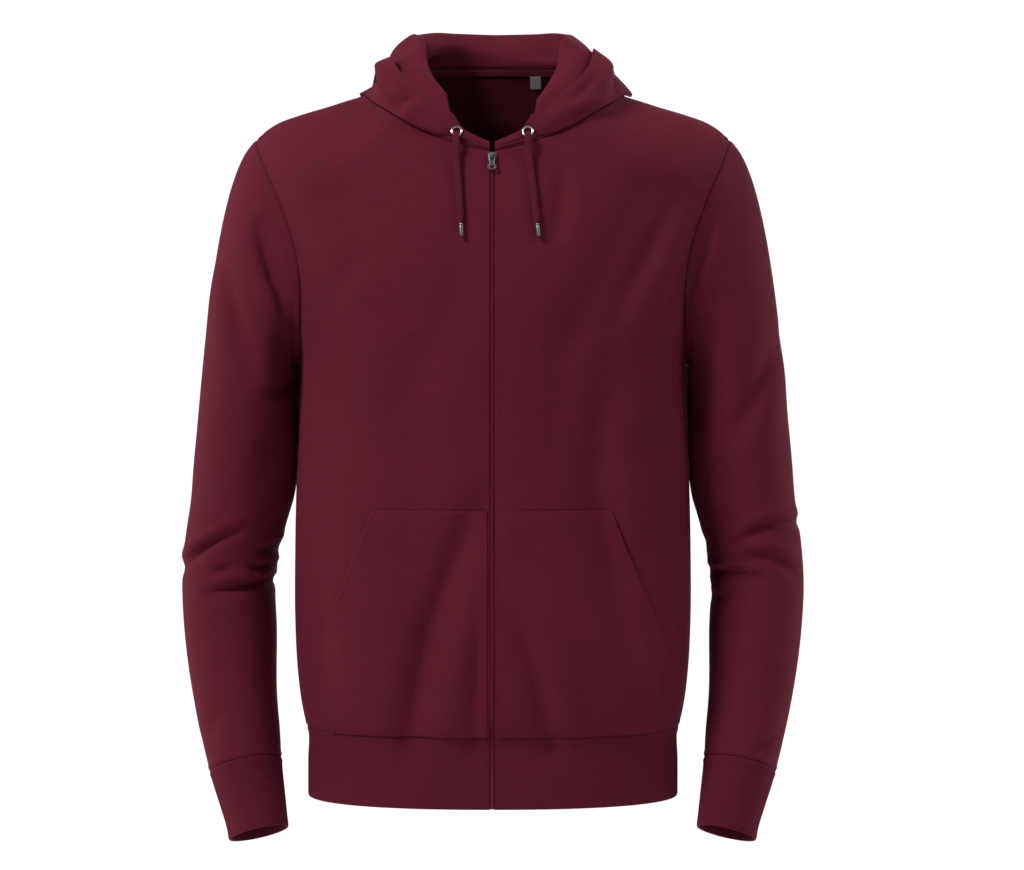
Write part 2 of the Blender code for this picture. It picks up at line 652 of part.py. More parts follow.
# Half outlines in the plane of the front, from top to bottom: distance from the middle, and distance down
# from the slider's top or, for the pull and its holes, from its hinge.
SLIDER_HALF = ((3.0, 0), (3.9, 1.6), (3.9, 5.2), (2.9, 8.6))
SLIDER_FLOOR, SLIDER_FACE = 0.5, 2.9
PULL_HALF = ((2.5, -0.7), (2.6, 5.6), (2.3, 8.2), (4.0, 10.4), (4.3, 12.4), (3.6, 14.3), (1.6, 15.2))
PULL_EYE = ((1.5, 0.7), (1.5, 5.0))
PULL_WINDOW = ((0.8, 6.4), (0.8, 7.9))
PULL_THICK = 1.3
PULL_RING = {"down": 11.9, "half_width": 2.2, "half_height": 1.7, "sides": 12}  # the hole at its end
HINGE_DOWN, HINGE_OUT = 4.5, 4.15  # the pull's hinge: down from the slider's top, and height over the front
# The bail in section, as distance down from the slider's top and height over the front.
BAIL_OUTSIDE = ((1.2, 2.3), (1.2, 5.6), (2.4, 6.6), (6.6, 6.6), (7.8, 5.6), (7.8, 2.3))
BAIL_INSIDE = ((6.6, 2.3), (6.6, 5.4), (2.4, 5.4), (2.4, 2.3))
BAIL_HALF_WIDTH = 0.9


def front_edge(z):
    """The face of the fronts at the middle, at height z."""
    return body_y(np.full(np.shape(z), ZIP_HALF), np.asarray(z, float), False)


def sweep(name, rings, surface):
    """A solid through a stack of closed rings with the same number of points."""
    rings = np.asarray(rings)
    count = rings.shape[1]
    faces = [range(count), range(rings.size // 3 - 1, rings.size // 3 - count - 1, -1)]
    for start in range(0, (len(rings) - 1) * count, count):
        for i in range(count):
            j = (i + 1) % count
            faces.append((start + i, start + j, start + j + count, start + i + count))
    return add_mesh(name, rings.reshape(-1, 3), faces, surface)


def zip_half(side):
    heights = np.append(body(0 * BODY_V, BODY_V, False)[1:, 2], hem(0.0 * HEM_V, HEM_V)[1:, 2])
    heights = np.append(ZIP_TOP, heights[heights < ZIP_TOP - 2])
    rings = np.zeros((len(heights), len(ZIP_SECTION), 3))
    rings[..., 0] = side * ZIP_SECTION[:, 0]
    rings[..., 1] = front_edge(heights)[:, None] + ZIP_SECTION[:, 1]
    rings[..., 2] = heights[:, None]
    sweep(sided("zip", side), rings, "zip_tape")


def front_frame(down, out):
    """The frame at a point of the slider: X to the wearer's left, Y up along the front, Z out from it."""
    ends = np.array((SLIDER_TOP, SLIDER_TOP - 12))
    y = front_edge(ends)
    fall = (y[1] - y[0]) / 12
    up = Vector((0, -fall, 1)).normalized()
    over = Vector((0, -1, -fall)).normalized()
    place = Vector((0, y[0], SLIDER_TOP)) - down * up + out * over
    frame = Matrix((Vector((1, 0, 0)), up, over)).transposed().to_4x4()
    frame.translation = place * MM
    return frame


def mirror_outline(half):
    """The whole outline from its +X half, given from top to bottom as (x, down)."""
    return [(x, -down) for x, down in half] + [(-x, -down) for x, down in half[::-1]]


def prism(name, outline, low, high, place, surface="silver"):
    """A flat outline raised from low to high along the frame's Z."""
    shape = bmesh.new()
    face = shape.faces.new([shape.verts.new((x * MM, y * MM, low * MM)) for x, y in outline])
    raised = bmesh.ops.extrude_face_region(shape, geom=[face])["geom"]
    corners = [part for part in raised if isinstance(part, bmesh.types.BMVert)]
    bmesh.ops.translate(shape, verts=corners, vec=(0, 0, (high - low) * MM))
    return add_object(name, shape, surface, place)


def join(target, other, operation):
    """Adds other to target, or cuts it away. The other body stays as a hidden helper."""
    collection("zip_up_hoodie").objects.unlink(other)
    collection("cutters").objects.link(other)
    other.hide_render = True
    other.display_type = "WIRE"
    change = target.modifiers.new(other.name, "BOOLEAN")
    change.operation = operation
    change.object = other


def zip_slider():
    frame = front_frame(0, 0)
    plate = prism("zip_slider", mirror_outline(SLIDER_HALF), SLIDER_FLOOR, SLIDER_FACE, frame)
    sideways = frame @ Matrix(((0, 0, 1, 0), (1, 0, 0, 0), (0, 1, 0, 0), (0, 0, 0, 1)))
    section = [(-down, out) for down, out in BAIL_OUTSIDE + BAIL_INSIDE]
    bail = prism("bail", section, -BAIL_HALF_WIDTH, BAIL_HALF_WIDTH, sideways)
    join(plate, bail, "UNION")


def zip_pull():
    """The pull. Its own origin is on its hinge."""
    hinge = front_frame(HINGE_DOWN, HINGE_OUT)
    pull = prism("zip_pull", mirror_outline(PULL_HALF), -PULL_THICK / 2, PULL_THICK / 2, hinge)
    turns = np.linspace(0, 2 * np.pi, PULL_RING["sides"], endpoint=False)
    ring_x = PULL_RING["half_width"] * np.cos(turns)
    ring_y = PULL_RING["half_height"] * np.sin(turns) - PULL_RING["down"]
    holes = {"eye": mirror_outline(PULL_EYE), "window": mirror_outline(PULL_WINDOW)}
    holes["ring"] = list(zip(ring_x, ring_y))
    for name, outline in holes.items():
        hole = prism("pull_" + name, outline, -PULL_THICK, PULL_THICK, hinge)
        join(pull, hole, "DIFFERENCE")


# ---- eyelets and drawcord ----------------------------------------------------------------------------

EYELET_X, EYELET_Z = 34.4, -47.2
EYELET_TIP = np.array((-0.3, 0, 0.2))  # how the eyelet is turned from the collar under it
EYELET_SECTION = ((3.7, 2.2), (3.7, 2.7), (4.2, 3.2), (5.1, 3.1), (5.7, 2.6), (5.7, 2.2))  # radius, height
EYELET_SIDES = 16
CORD_HALF_WIDTH, CORD_HALF_THICK = 3.2, 2.2
CORD_SIDES = 8
CORD_POINTS = 14
# The cord's way down: height, how far it has gone from the eyelet's x to its end's x, and how far its
# middle line is over the cloth.
CORD_PATH = table(
    "height part over",
    (-48.2, 0, 5.9),
    (-50.2, 0, 8),
    (-53.2, 0, 8.9),
    (-58.8, 0.04, 8.5),
    (-66, 0.1, 6.7),
    (-76, 0.2, 4.6),
    (-92, 0.4, 3.6),
    (-108, 0.62, 3.6),
    (-124, 0.84, 3.6),
    (-136.5, 1, 3.6),
)
CORD_STEPS = np.linspace(0, 1, len(CORD_PATH["height"])) ** 1.3
CORD_END_X = {1: 43.0, -1: 29.5}
TIP_RADIUS, TIP_LENGTH = 2.15, 13.0


def collar_at(x, z):
    """The place on the outside of the hood's left half at x and z, near the front, and its normal there."""

    def left(a, b):
        return hood(a, b, 1)

    u, v = np.meshgrid(np.linspace(0, 3, 121), np.linspace(0, len(HOOD_STEPS), 161))
    points = left(u, v)
    away = np.hypot(points[..., 0] - x, points[..., 2] - z)
    best = np.unravel_index(np.argmin(away), away.shape)
    normal = slope_normal(left, u[best], v[best], (0, 3, 0, len(HOOD_STEPS)))
    return points[best], normal * np.sign(-normal[1])


def eyelet(side):
    """A turned ring: its section is an edge loop that a Screw modifier turns about the eyelet's own Z."""
    middle, normal = collar_at(EYELET_X, EYELET_Z)
    facing = Vector(unit(normal + EYELET_TIP) * (side, 1, 1))
    name = sided("eyelet", side)
    mesh = bpy.data.meshes.new(name)
    count = len(EYELET_SECTION)
    corners = [(radius * MM, 0, height * MM) for radius, height in EYELET_SECTION]
    mesh.from_pydata(corners, [(i, (i + 1) % count) for i in range(count)], [])
    mesh.materials.append(material("silver"))
    ring = bpy.data.objects.new(name, mesh)
    collection("zip_up_hoodie").objects.link(ring)
    ring.location = Vector(middle * (side, 1, 1)) * MM
    ring.rotation_euler = facing.to_track_quat("Z", "Y").to_euler()
    turn = ring.modifiers.new("turn", "SCREW")
    turn.steps = EYELET_SIDES
    turn.render_steps = EYELET_SIDES
    turn.use_merge_vertices = True
    turn.merge_threshold = 1e-5
    turn.use_normal_calculate = True
    turn.use_smooth_shade = True


def tube(name, path, half_wide, half_thick, sides, surface):
    """A closed tube of oval section along a path, flat across the wearer's left and right."""
    ways = unit(np.gradient(path, axis=0))
    thick = unit(np.cross(ways, (1.0, 0, 0)))
    wide = np.cross(thick, ways)
    turns = np.linspace(0, 2 * np.pi, sides, endpoint=False)
    rings = [path + half_wide * math.cos(a) * wide + half_thick * math.sin(a) * thick for a in turns]
    return sweep(name, np.stack(rings, 1), surface)


def cord_path(side):
    """The middle line of a cord, from the eyelet to its end over the chest."""
    middle, _ = collar_at(EYELET_X, EYELET_Z)
    at = np.linspace(0, 1, CORD_POINTS) ** 1.3
    line = {name: smooth(at, CORD_STEPS, CORD_PATH[name]) for name in CORD_PATH}
    height = line["height"]
    x = EYELET_X + (CORD_END_X[side] - EYELET_X) * line["part"]
    chest = body_y(x, np.minimum(height, ZIP_TOP), False)
    onto_chest = np.clip((EYELET_Z - height) / (EYELET_Z - ZIP_TOP), 0, 1)
    under = middle[1] + (chest - middle[1]) * onto_chest
    return np.stack([side * x, under - line["over"], height], -1)


def drawcord(side):
    path = cord_path(side)
    tube(sided("drawcord", side), path, CORD_HALF_WIDTH, CORD_HALF_THICK, CORD_SIDES, "cord")
    way = unit(path[-1] - path[-2])
    tip = path[-1] + np.outer((2 * HALF_GAP, TIP_LENGTH / 2, TIP_LENGTH), way)
    tube(sided("cord_tip", side), tip, TIP_RADIUS, TIP_RADIUS, 10, "silver")


# ---- the whole garment -------------------------------------------------------------------------------


def front_panel(side):
    """A front. Its columns start a hair away from 0, so that both fronts keep their side."""
    return lambda u, v: body(side * (u + 1e-12), v, False)


def build():
    for old in list(bpy.data.objects):
        bpy.data.objects.remove(old)
    for side in (1, -1):
        mirror = np.array((side, 1, 1))
        cloth(sided("front", side), front_panel(side), FRONT_U, BODY_V)
        arm = mirrored(sleeve, side)
        limits = (*ALL_ROUND, 0, 3)
        cloth(sided("sleeve", side), arm, SLEEVE_TURNS, SLEEVE_ROWS, limits, ARM * mirror, ring=True)
        wrist = mirrored(cuff, side)
        limits = (*ALL_ROUND, 0, 1)
        cloth(sided("cuff", side), wrist, SLEEVE_TURNS, CUFF_ROWS, limits, HAND * mirror, RIBBING, ring=True)
        hood_half(side)
        pocket(side)
        zip_half(side)
        eyelet(side)
        drawcord(side)
    cloth("back", back_panel, np.append(-BACK_U[:0:-1], BACK_U), BODY_V)
    cloth("hem_band", hem, HEM_U, HEM_V, wall_of=RIBBING)
    neck_trim()
    zip_slider()
    zip_pull()


build()
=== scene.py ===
"""The looks of a zip up hoodie: each piece of cloth as a fine shell, with its creases, sewing and trims.

Frame: metres, +X to the wearer's left, +Y to the wearer's back, +Z up. The origin is the middle of the
neck. Tables and named sizes are in millimetres, and add_piece turns them into metres.
"""

import math

import bpy
import numpy as np
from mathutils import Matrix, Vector


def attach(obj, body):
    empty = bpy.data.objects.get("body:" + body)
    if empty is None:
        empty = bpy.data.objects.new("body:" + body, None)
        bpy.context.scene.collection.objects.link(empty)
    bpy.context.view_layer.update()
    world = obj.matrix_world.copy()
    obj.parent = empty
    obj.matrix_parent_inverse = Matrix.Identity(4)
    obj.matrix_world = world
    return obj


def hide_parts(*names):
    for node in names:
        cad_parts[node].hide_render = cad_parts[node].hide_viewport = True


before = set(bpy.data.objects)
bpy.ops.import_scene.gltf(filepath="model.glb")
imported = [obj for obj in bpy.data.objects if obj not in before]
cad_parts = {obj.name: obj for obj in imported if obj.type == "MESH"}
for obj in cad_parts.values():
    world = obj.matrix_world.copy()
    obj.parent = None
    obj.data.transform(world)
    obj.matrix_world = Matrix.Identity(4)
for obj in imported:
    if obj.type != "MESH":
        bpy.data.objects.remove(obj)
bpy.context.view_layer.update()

MM = 0.001
HALF_GAP = 0.2  # half of the space between two pieces that are sewn together
CLOTH = 2.0  # the fleece's thickness
RIB = 2.4  # the cuffs and the hem band
TRIM = 1.0  # the tapes and the label
LAID_ON = 0.9  # clear space under a piece that lies on another
GARMENT = "garment"


def table(names, *rows):
    """A short table as a dict of its named columns."""
    return dict(zip(names.split(), np.array(rows, float).T))


def rows_of(columns):
    """The rows of a table."""
    return np.array(list(columns.values())).T


def sided(name, side):
    """The name of a piece on the wearer's left (side 1) or right (side -1)."""
    return ("left_" if side > 0 else "right_") + name


def cad(name, side):
    """The name of its solid."""
    return name + ("_left" if side > 0 else "_right")


def unit(vector):
    """Each vector divided by its length."""
    return vector / np.maximum(np.linalg.norm(vector, axis=-1, keepdims=True), 1e-12)


def put(name, data):
    """A new object in the scene."""
    made = bpy.data.objects.new(name, data)
    bpy.context.scene.collection.objects.link(made)
    return made


# ---- camera ------------------------------------------------------------------------------------------

CAMERA_AT = (0.019, -2.6, -0.338)
SEEN_WIDTH = 1.024  # the width that the camera takes in at the origin, in metres
SENSOR = 36

scene = bpy.context.scene
camera = put("camera", bpy.data.cameras.new("camera"))
camera.location = CAMERA_AT
camera.rotation_euler = (math.pi / 2, 0, 0)
camera.data.sensor_width = SENSOR
camera.data.lens = SENSOR * -CAMERA_AT[1] / SEEN_WIDTH
scene.camera = camera

# ---- the body's surface ------------------------------------------------------------------------------

SQUARENESS = 2.35  # of each level section: 2 is an ellipse
ZIP_HALF = 2.4  # from the middle to each front edge
UNDERARM = -262.0
HEM_SEAM = -626.0
HEM_EDGE = -695.0
SHOULDER_Y = 8.0  # the shoulder seam lies this far behind the middle
SHOULDER_ROUND = 78.0  # the height over which front and back turn to the shoulder seam
NECK_HALF = 130.0
ARMHOLE_TOP = 236.0

FORM = table(
    "height half_width front back",
    (-700, 184, 125, 121),
    (-660, 184, 126, 122),
    (-630, 184, 126, 122),
    (-616, 188, 131, 126),
    (-600, 191, 136, 130),
    (-570, 194.5, 140, 131),
    (-520, 197, 140, 126),
    (-450, 197, 138, 117),
    (-380, 195.5, 138, 114),
    (-320, 193, 139, 118),
    (-262, 192, 140, 126),
    (-190, 207, 137, 132),
    (-121, 226, 125, 130),
    (-67, 244, 107, 120),
    (-44, 251, 97, 113),
    (-20, 257, 84, 106),
    (0, 261, 70, 99),
    (45, 266, 44, 84),
)
SHOULDER = table(
    "across height",
    (0, 120),
    (60, 62),
    (100, 25),
    (130, 2),
    (148, -4),
    (165, -9.5),
    (195, -18.5),
    (215, -26),
    (228, -34.5),
    (236, -42.5),
    (245, -55),
)
NECK_FRONT = table(
    "across height", (0, -66), (18, -62.5), (44, -55), (74, -42), (102, -23), (118, -11), (130, 2)
)
NECK_BACK = table("across height", (0, 41), (40, 40.5), (70, 37), (95, 26), (115, 13), (130, 2))
ARMHOLE = table(
    "height front back",
    (-262, 192, 192),
    (-250, 190, 191.5),
    (-225, 187.5, 191),
    (-190, 187, 193),
    (-150, 194, 200),
    (-121, 204, 208),
    (-100, 212, 215),
    (-70, 226, 227),
    (-44, 236, 236),
    (45, 236, 236),
)
# Each large fold is a hollow of that width and depth along a straight line.
BODY_FOLDS = table(
    "back from_x from_z to_x to_z width depth",
    (0, 150, -105, 82, -238, 22, 7),
    (0, 67, -268, 66, -350, 20, 4),
    (0, -150, -115, -84, -218, 20, 4),
    (0, -78, -262, -70, -600, 24, 5),
    (0, 84, -380, 92, -600, 22, 3),
    (0, 112, -560, 150, -600, 16, 4),
    (1, 120, -120, 60, -300, 30, 6),
    (1, -120, -120, -60, -300, 30, 6),
    (1, 70, -400, 85, -610, 26, 6),
    (1, -60, -380, -80, -610, 26, 6),
)
# Each crease follows a line from one point to another, bent sideways by bend at its middle. It is a hollow
# of that width and depth (a ridge where depth is negative), with a soft ridge of lip times its depth on the
# left of its direction.
FINE_CREASES = table(
    "back from_x from_z to_x to_z bend width depth lip",
    (0, 68, -72, 60, -160, 2, 9, 5.5, 0.3),
    (0, 176, -120, 163, -240, 4, 13, -3.8, 0),
    (0, -14, -466, -20, -655, 2, 9, 6, 0.3),
    (0, -171, -480, -154, -615, -5, 13, 8.5, 0.3),
    (0, 17, -500, 60, -655, 5, 13, 9, 0.35),
    (0, 148, -608, 188, -508, -4, 9, 6, 0.5),
    (0, 167, -566, 178, -610, 0, 5, -3.9, 0),
    (0, 114, -225, 104, -385, 0, 20, 6.5, 0.25),
    (0, -120, -150, -170, -225, 3, 12, 2.7, 0.3),
    (0, 96, -300, 144, -606, -8, 18, 13, 0.35),
    (0, -132, -300, -110, -420, 5, 20, 2.4, 0.2),
    (1, 158, -120, 84, -232, 8, 15, 4.8, 0.4),
    (1, -150, -140, -96, -228, -6, 13, 4.2, 0.4),
    (1, 30, -470, 46, -640, 4, 13, 3.6, 0.3),
    (1, -118, -500, -150, -640, 5, 12, 4.5, 0.4),
    (1, 128, -520, 152, -640, -4, 11, 3.9, 0.4),
    (1, -6, -330, 14, -470, 7, 20, 3.6, 0.2),
    (1, 52, -24, -48, -30, -10, 9, 2.7, 0.3),
    (0, 188, -88, 110, -244, 0, 12.5, 8.5, 0.35),
    (0, 194, -112, 168, -200, 2, 9, -2.4, 0),
    (0, -186, -430, -170, -650, -3, 14, 11, 0.15),
    (0, -2, -380, -84, -668, -12, 17, 14, 0.35),
    (0, -14, -160, -96, -330, 4, 22, 5, 0.2),
)


def cubic(t, start, end, size, leave, arrive):
    """start (1 + 2t) (1 - t)^2 + end t^2 (3 - 2t) + size (leave t (1 - t)^2 - arrive t^2 (1 - t))."""
    swing = leave * t * (1 - t) ** 2 - arrive * t**2 * (1 - t)
    return start * (1 + 2 * t) * (1 - t) ** 2 + end * t**2 * (3 - 2 * t) + size * swing


def smooth(at, knots, values):
    """The smooth curve through (knots, values): a cubic in each step, with slopes from its neighbours."""
    at = np.clip(at, knots[0], knots[-1])
    slope = np.gradient(values, knots)
    i = np.clip(np.searchsorted(knots, at) - 1, 0, len(knots) - 2)
    step = knots[i + 1] - knots[i]
    return cubic((at - knots[i]) / step, values[i], values[i + 1], step, slope[i], slope[i + 1])


def curve(columns, at, name):
    """A column of a table, read as a smooth curve over the table's first column."""
    return smooth(at, next(iter(columns.values())), columns[name])


def crease_depth(x, z, lines, reach=1.0):
    """The sum over lines of depth * fade * (exp(-(d/w)^2) - lip * exp(-((d-1.7w)/1.2w)^2)), where d is the
    distance to the left of the bent line, and fade is sin(pi s)^0.8 for a share s of the way along it."""
    total = np.zeros(np.broadcast(x, z).shape)
    for x0, z0, x1, z1, bend, width, depth, lip in lines:
        long_x, long_z = x1 - x0, z1 - z0
        size = math.hypot(long_x, long_z)
        along = ((x - x0) * long_x + (z - z0) * long_z) / size**2
        left = ((z - z0) * long_x - (x - x0) * long_z) / size
        share = np.clip(along, 0, 1)
        away = (left - 4 * bend * share * (1 - share)) / width
        fade = np.sin(np.pi * share) ** 0.8
        total = total + depth * fade * (np.exp(-(away**2)) - lip * np.exp(-(((away - 1.7) / 1.2) ** 2)))
    return total * reach


def soft_folds(x, z, back):
    """The large folds: depth * exp(-(distance to the line / width)^2), with round ends."""
    total = np.zeros(np.broadcast(x, z).shape)
    for is_back, x0, z0, x1, z1, width, depth in rows_of(BODY_FOLDS):
        if bool(is_back) != back:
            continue
        long_x, long_z = x1 - x0, z1 - z0
        along = np.clip(((x - x0) * long_x + (z - z0) * long_z) / (long_x**2 + long_z**2), 0, 1)
        away = np.hypot(x - x0 - along * long_x, z - z0 - along * long_z)
        total = total + depth * np.exp(-((away / width) ** 2))
    return total


def body_y(x, z, back):
    """The body's y: a level superellipse section, turned in to the shoulder seam near the top, less the
    folds and creases, which fade out toward the side seams and the shoulder."""
    sign = 1 if back else -1
    half = curve(FORM, z, "half_width")
    depth = curve(FORM, z, "back" if back else "front")
    across = np.abs(x)
    level = (1 - np.clip(across / half, 0, 1) ** SQUARENESS) ** (1 / SQUARENESS)
    drop = (curve(SHOULDER, across, "height") - z) / SHOULDER_ROUND
    turn = np.sqrt(1 - (1 - np.clip(drop, 0, 1)) ** 2)
    fine = rows_of(FINE_CREASES)
    inward = soft_folds(x, z, back) + crease_depth(x, z, fine[fine[:, 0] == back, 1:])
    inward = inward * level * turn
    return SHOULDER_Y + turn * (sign * depth * level - SHOULDER_Y) - sign * inward + sign * HALF_GAP


def section_angle(across, z):
    """The angle whose sine is (across / half width) ^ (SQUARENESS / 2). Even steps go evenly round."""
    half = curve(FORM, z, "half_width")
    return np.arcsin(np.clip(across / half, 0, 1) ** (SQUARENESS / 2))


def neck_part(back):
    """The share of the way from the middle to the armhole where the neck's corner is."""
    neck = section_angle(NECK_HALF, 0.0)
    first = section_angle(0.0 if back else ZIP_HALF, 0.0)
    last = section_angle(ARMHOLE_TOP, 0.0)
    return float((neck - first) / (last - first))


def column_across(part, z, back):
    """How far column part (0 at the middle, 1 at the armhole or side seam) is from the middle at z: the
    columns are even in section_angle."""
    half = curve(FORM, z, "half_width")
    armhole = curve(ARMHOLE, z, "back" if back else "front")
    inner = section_angle(0.0 if back else ZIP_HALF, z)
    outer = section_angle(np.where(z > UNDERARM, armhole, half), z)
    return half * np.sin(inner + (outer - inner) * part) ** (2 / SQUARENESS)


def top_line(across, back):
    """The height of the panel's top: the neck line out to the neck's corner, then the shoulder seam."""
    neck = NECK_BACK if back else NECK_FRONT
    on_neck = curve(neck, across, "height")
    on_shoulder = curve(SHOULDER, across, "height")
    return np.where(across < NECK_HALF, np.minimum(on_neck, on_shoulder), on_shoulder)


def body(part, v, back):
    """The body's surface. part is -1 to 1 across it, and v runs from the neck and shoulder (0) by the
    underarm (1) to the hem seam (2): z falls as a cosine to the underarm and evenly from there."""
    columns = np.abs(part)
    top = np.zeros(np.broadcast(part, v).shape)
    for _ in range(40):
        top = top_line(column_across(columns, top, back), back)
    above = top + (UNDERARM - top) * (1 - np.cos(np.pi * np.clip(v, 0, 1))) / 2
    z = np.where(v < 1, above, UNDERARM + (HEM_SEAM - UNDERARM) * (v - 1))
    x = np.sign(part) * column_across(columns, z, back)
    return np.stack([x, body_y(x, z, back), z], -1)


# ---- grids and shells --------------------------------------------------------------------------------

CLOSE = np.array((0.7, 1.5, 2.5, 3.7, 5.0, 6.6, 8.6))  # extra grid lines beside an edge
EDGE_ROUND = 0.13  # how much of the thickness each face turns in at an edge
EDGE_REACH = 0.8
WELT_AT, WELT_REACH = 3.4, 2.4  # where the folded allowance under a seam lifts the cloth
SHARP = math.radians(55)
sewing = {}  # the rows of stitches by group


def lines(length, step, first=True, last=True):
    """Shares from 0 to 1 of a length: even steps, with closer lines beside its first and last edge."""
    at = np.arange(step, length - step / 2, step)
    low = CLOSE[-1] + step / 3 if first else 0
    high = length - CLOSE[-1] - step / 3 if last else length
    at = at[(at > low) & (at < high)]
    ends = [np.array((0.0, length)), at]
    if first:
        ends.append(CLOSE)
    if last:
        ends.append(length - CLOSE)
    return np.sort(np.concatenate(ends)) / length


def grid_normal(points, ring=False):
    """The unit normal of a grid of points: the cross product of its central differences."""
    if ring:
        along_u = np.roll(points, -1, 1) - np.roll(points, 1, 1)
    else:
        along_u = np.gradient(points, axis=1)
    return unit(np.cross(along_u, np.gradient(points, axis=0)))


def facing(points, way):
    """The normals of a grid, turned so that each one's y is of the sign of way."""
    normal = grid_normal(points)
    return normal * way * np.sign(normal[..., 1:2])


def lengths(points, axis):
    """The length along each grid line from its first point."""
    steps = np.linalg.norm(np.diff(points, axis=axis), axis=-1)
    first = np.zeros_like(np.take(steps, [0], axis))
    return np.concatenate([first, np.cumsum(steps, axis)], axis)


def edge_distances(points, ring=False):
    """The distance of each point from each edge of its grid, along the grid's own lines."""
    down = lengths(points, 0)
    found = {"top": down, "bottom": down[-1:] - down}
    if not ring:
        across = lengths(points, 1)
        found["first"] = across
        found["last"] = across[:, -1:] - across
    return found


def add_piece(name, points, faces, finish, replaced=(), uv=None, uv_faces=None):
    """A piece from points in millimetres and a list of face arrays, each with its own count of corners."""
    mesh = bpy.data.meshes.new(name)
    mesh.vertices.add(len(points))
    mesh.vertices.foreach_set("co", (np.asarray(points) * MM).astype(np.float32).ravel())
    corners = np.concatenate([np.ravel(part) for part in faces]).astype(np.int32)
    sizes = np.concatenate([np.full(len(part), part.shape[1]) for part in faces])
    mesh.loops.add(len(corners))
    mesh.loops.foreach_set("vertex_index", corners)
    mesh.polygons.add(len(sizes))
    mesh.polygons.foreach_set("loop_start", np.concatenate([[0], np.cumsum(sizes)[:-1]]).astype(np.int32))
    if uv is not None:
        layer = mesh.uv_layers.new(name="cloth")
        at = np.concatenate([np.ravel(part) for part in (uv_faces or faces)])
        layer.data.foreach_set("uv", (uv[at] * MM).astype(np.float32).ravel())
    mesh.update(calc_edges=True)
    mesh.validate()
    mesh.shade_smooth()
    mesh.set_sharp_from_angle(angle=SHARP)
    mesh.materials.append(finish)
    made = put(name, mesh)
    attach(made, GARMENT)
    if replaced:
        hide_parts(*replaced)
    return made


def numbered(rows, columns):
    """A grid of corner numbers."""
    return np.arange(rows * columns).reshape(rows, columns)


def closed(grid):
    """A grid with its first column again after its last."""
    return np.concatenate([grid, grid[:, :1]], 1)


def round_turns(count):
    """Even angles round a full turn."""
    return np.linspace(0, 2 * np.pi, count, endpoint=False)


def quads(index):
    """The faces of a grid of corner numbers."""
    return np.stack([index[:-1, :-1], index[:-1, 1:], index[1:, 1:], index[1:, :-1]], -1).reshape(-1, 4)


def rim(outer, inner):
    """The faces from one row of corners to another, seen from the side of the row's left."""
    return np.stack([outer[1:], outer[:-1], inner[:-1], inner[1:]], -1)


def shell(
    name,
    points,
    wall_of,
    away_from,
    replaced,
    ring=False,
    seams=(),
    welt=0.4,
    relief=0.0,
    level=False,
    joined=None,
):
    """A thin closed wall on a grid of points. Its faces turn in by EDGE_ROUND * thickness *
    exp(-(d/reach)^2) beside every edge but the joined one, and rise by welt * exp(-((d-at)/reach)^2)
    beside its seams. The joined edge lies on the plane between left and right. The knit's own
    coordinates run along the grid, or with level round the body and up it. It returns the outer grid and
    its normals."""
    thickness, finish, slot, *inner_finish = wall_of
    normal = grid_normal(points, ring)
    flip = ((points - away_from) * normal).sum(-1).mean() < 0
    if flip:
        normal = -normal
    distances = edge_distances(points, ring)
    if joined:
        normal[:, -1, 0] = 0
        normal = unit(normal)
    free = np.minimum.reduce([away for edge, away in distances.items() if edge != joined])
    turn_in = EDGE_ROUND * thickness * np.exp(-((free / EDGE_REACH) ** 2))
    rise = np.zeros(turn_in.shape)
    for edge in seams:
        rise = np.maximum(rise, welt * np.exp(-(((distances[edge] - WELT_AT) / WELT_REACH) ** 2)))
    outer = points + normal * (rise + relief - turn_in)[..., None]
    inner = points - normal * (thickness - turn_in)[..., None]
    rows, columns = points.shape[:2]
    index, uv_index = numbered(rows, columns), numbered(rows, columns + ring)
    wrapped = closed(points) if ring else points
    along, up = lengths(wrapped, 1), lengths(wrapped, 0)
    if level:
        along = lengths(wrapped * (1, 1, 0), 1)
    uv = np.stack([along, up[-1:] - up], -1).reshape(-1, 2)
    if ring:
        index = closed(index)

    def both(at, second):
        found = [quads(at), quads(at)[:, ::-1] + second]
        found += [rim(at[0], at[0] + second), rim(at[-1, ::-1], at[-1, ::-1] + second)]
        if not ring:
            found += [rim(at[::-1, 0], at[::-1, 0] + second), rim(at[:, -1], at[:, -1] + second)]
        return [part[:, ::-1] for part in found] if flip else found

    corners = np.vstack([outer.reshape(-1, 3), inner.reshape(-1, 3)])
    faces, uv_faces = both(index, rows * columns), both(uv_index, 0)
    made = add_piece(name, corners, faces, finish, replaced, uv, uv_faces)
    # The inner faces take the second finish: on the body, the inside finish with its painted shade.
    if inner_finish:
        made.data.materials.append(inner_finish[0])
        outer_faces = (rows - 1) * (columns - 1 + ring)
        second = np.arange(len(made.data.polygons)) // outer_faces == 1
        made.data.polygons.foreach_set("material_index", second.astype(np.int32))
    return outer, normal


def half_of(name, side, points, wall_of, away_from, **how):
    """The left or right piece of a pair: a shell, which replaces the solid of the same name."""
    return shell(sided(name, side), points, wall_of, away_from, [cad(name, side)], **how)


def inset(grid, normal, edge, distance):
    """The line on a grid at a distance from one of its edges, with the normals along it."""
    if edge in ("first", "last"):
        grid, normal = np.swapaxes(grid, 0, 1), np.swapaxes(normal, 0, 1)
    if edge in ("bottom", "last"):
        grid, normal = grid[::-1], normal[::-1]
    gone = lengths(grid, 0)
    i = np.clip((gone < distance).sum(0) - 1, 0, len(grid) - 2)
    j = np.arange(grid.shape[1])
    share = ((distance - gone[i, j]) / (gone[i + 1, j] - gone[i, j]))[:, None]
    path = grid[i, j] + (grid[i + 1, j] - grid[i, j]) * share
    return path, unit(normal[i, j] + (normal[i + 1, j] - normal[i, j]) * share)


# ---- sewing ------------------------------------------------------------------------------------------

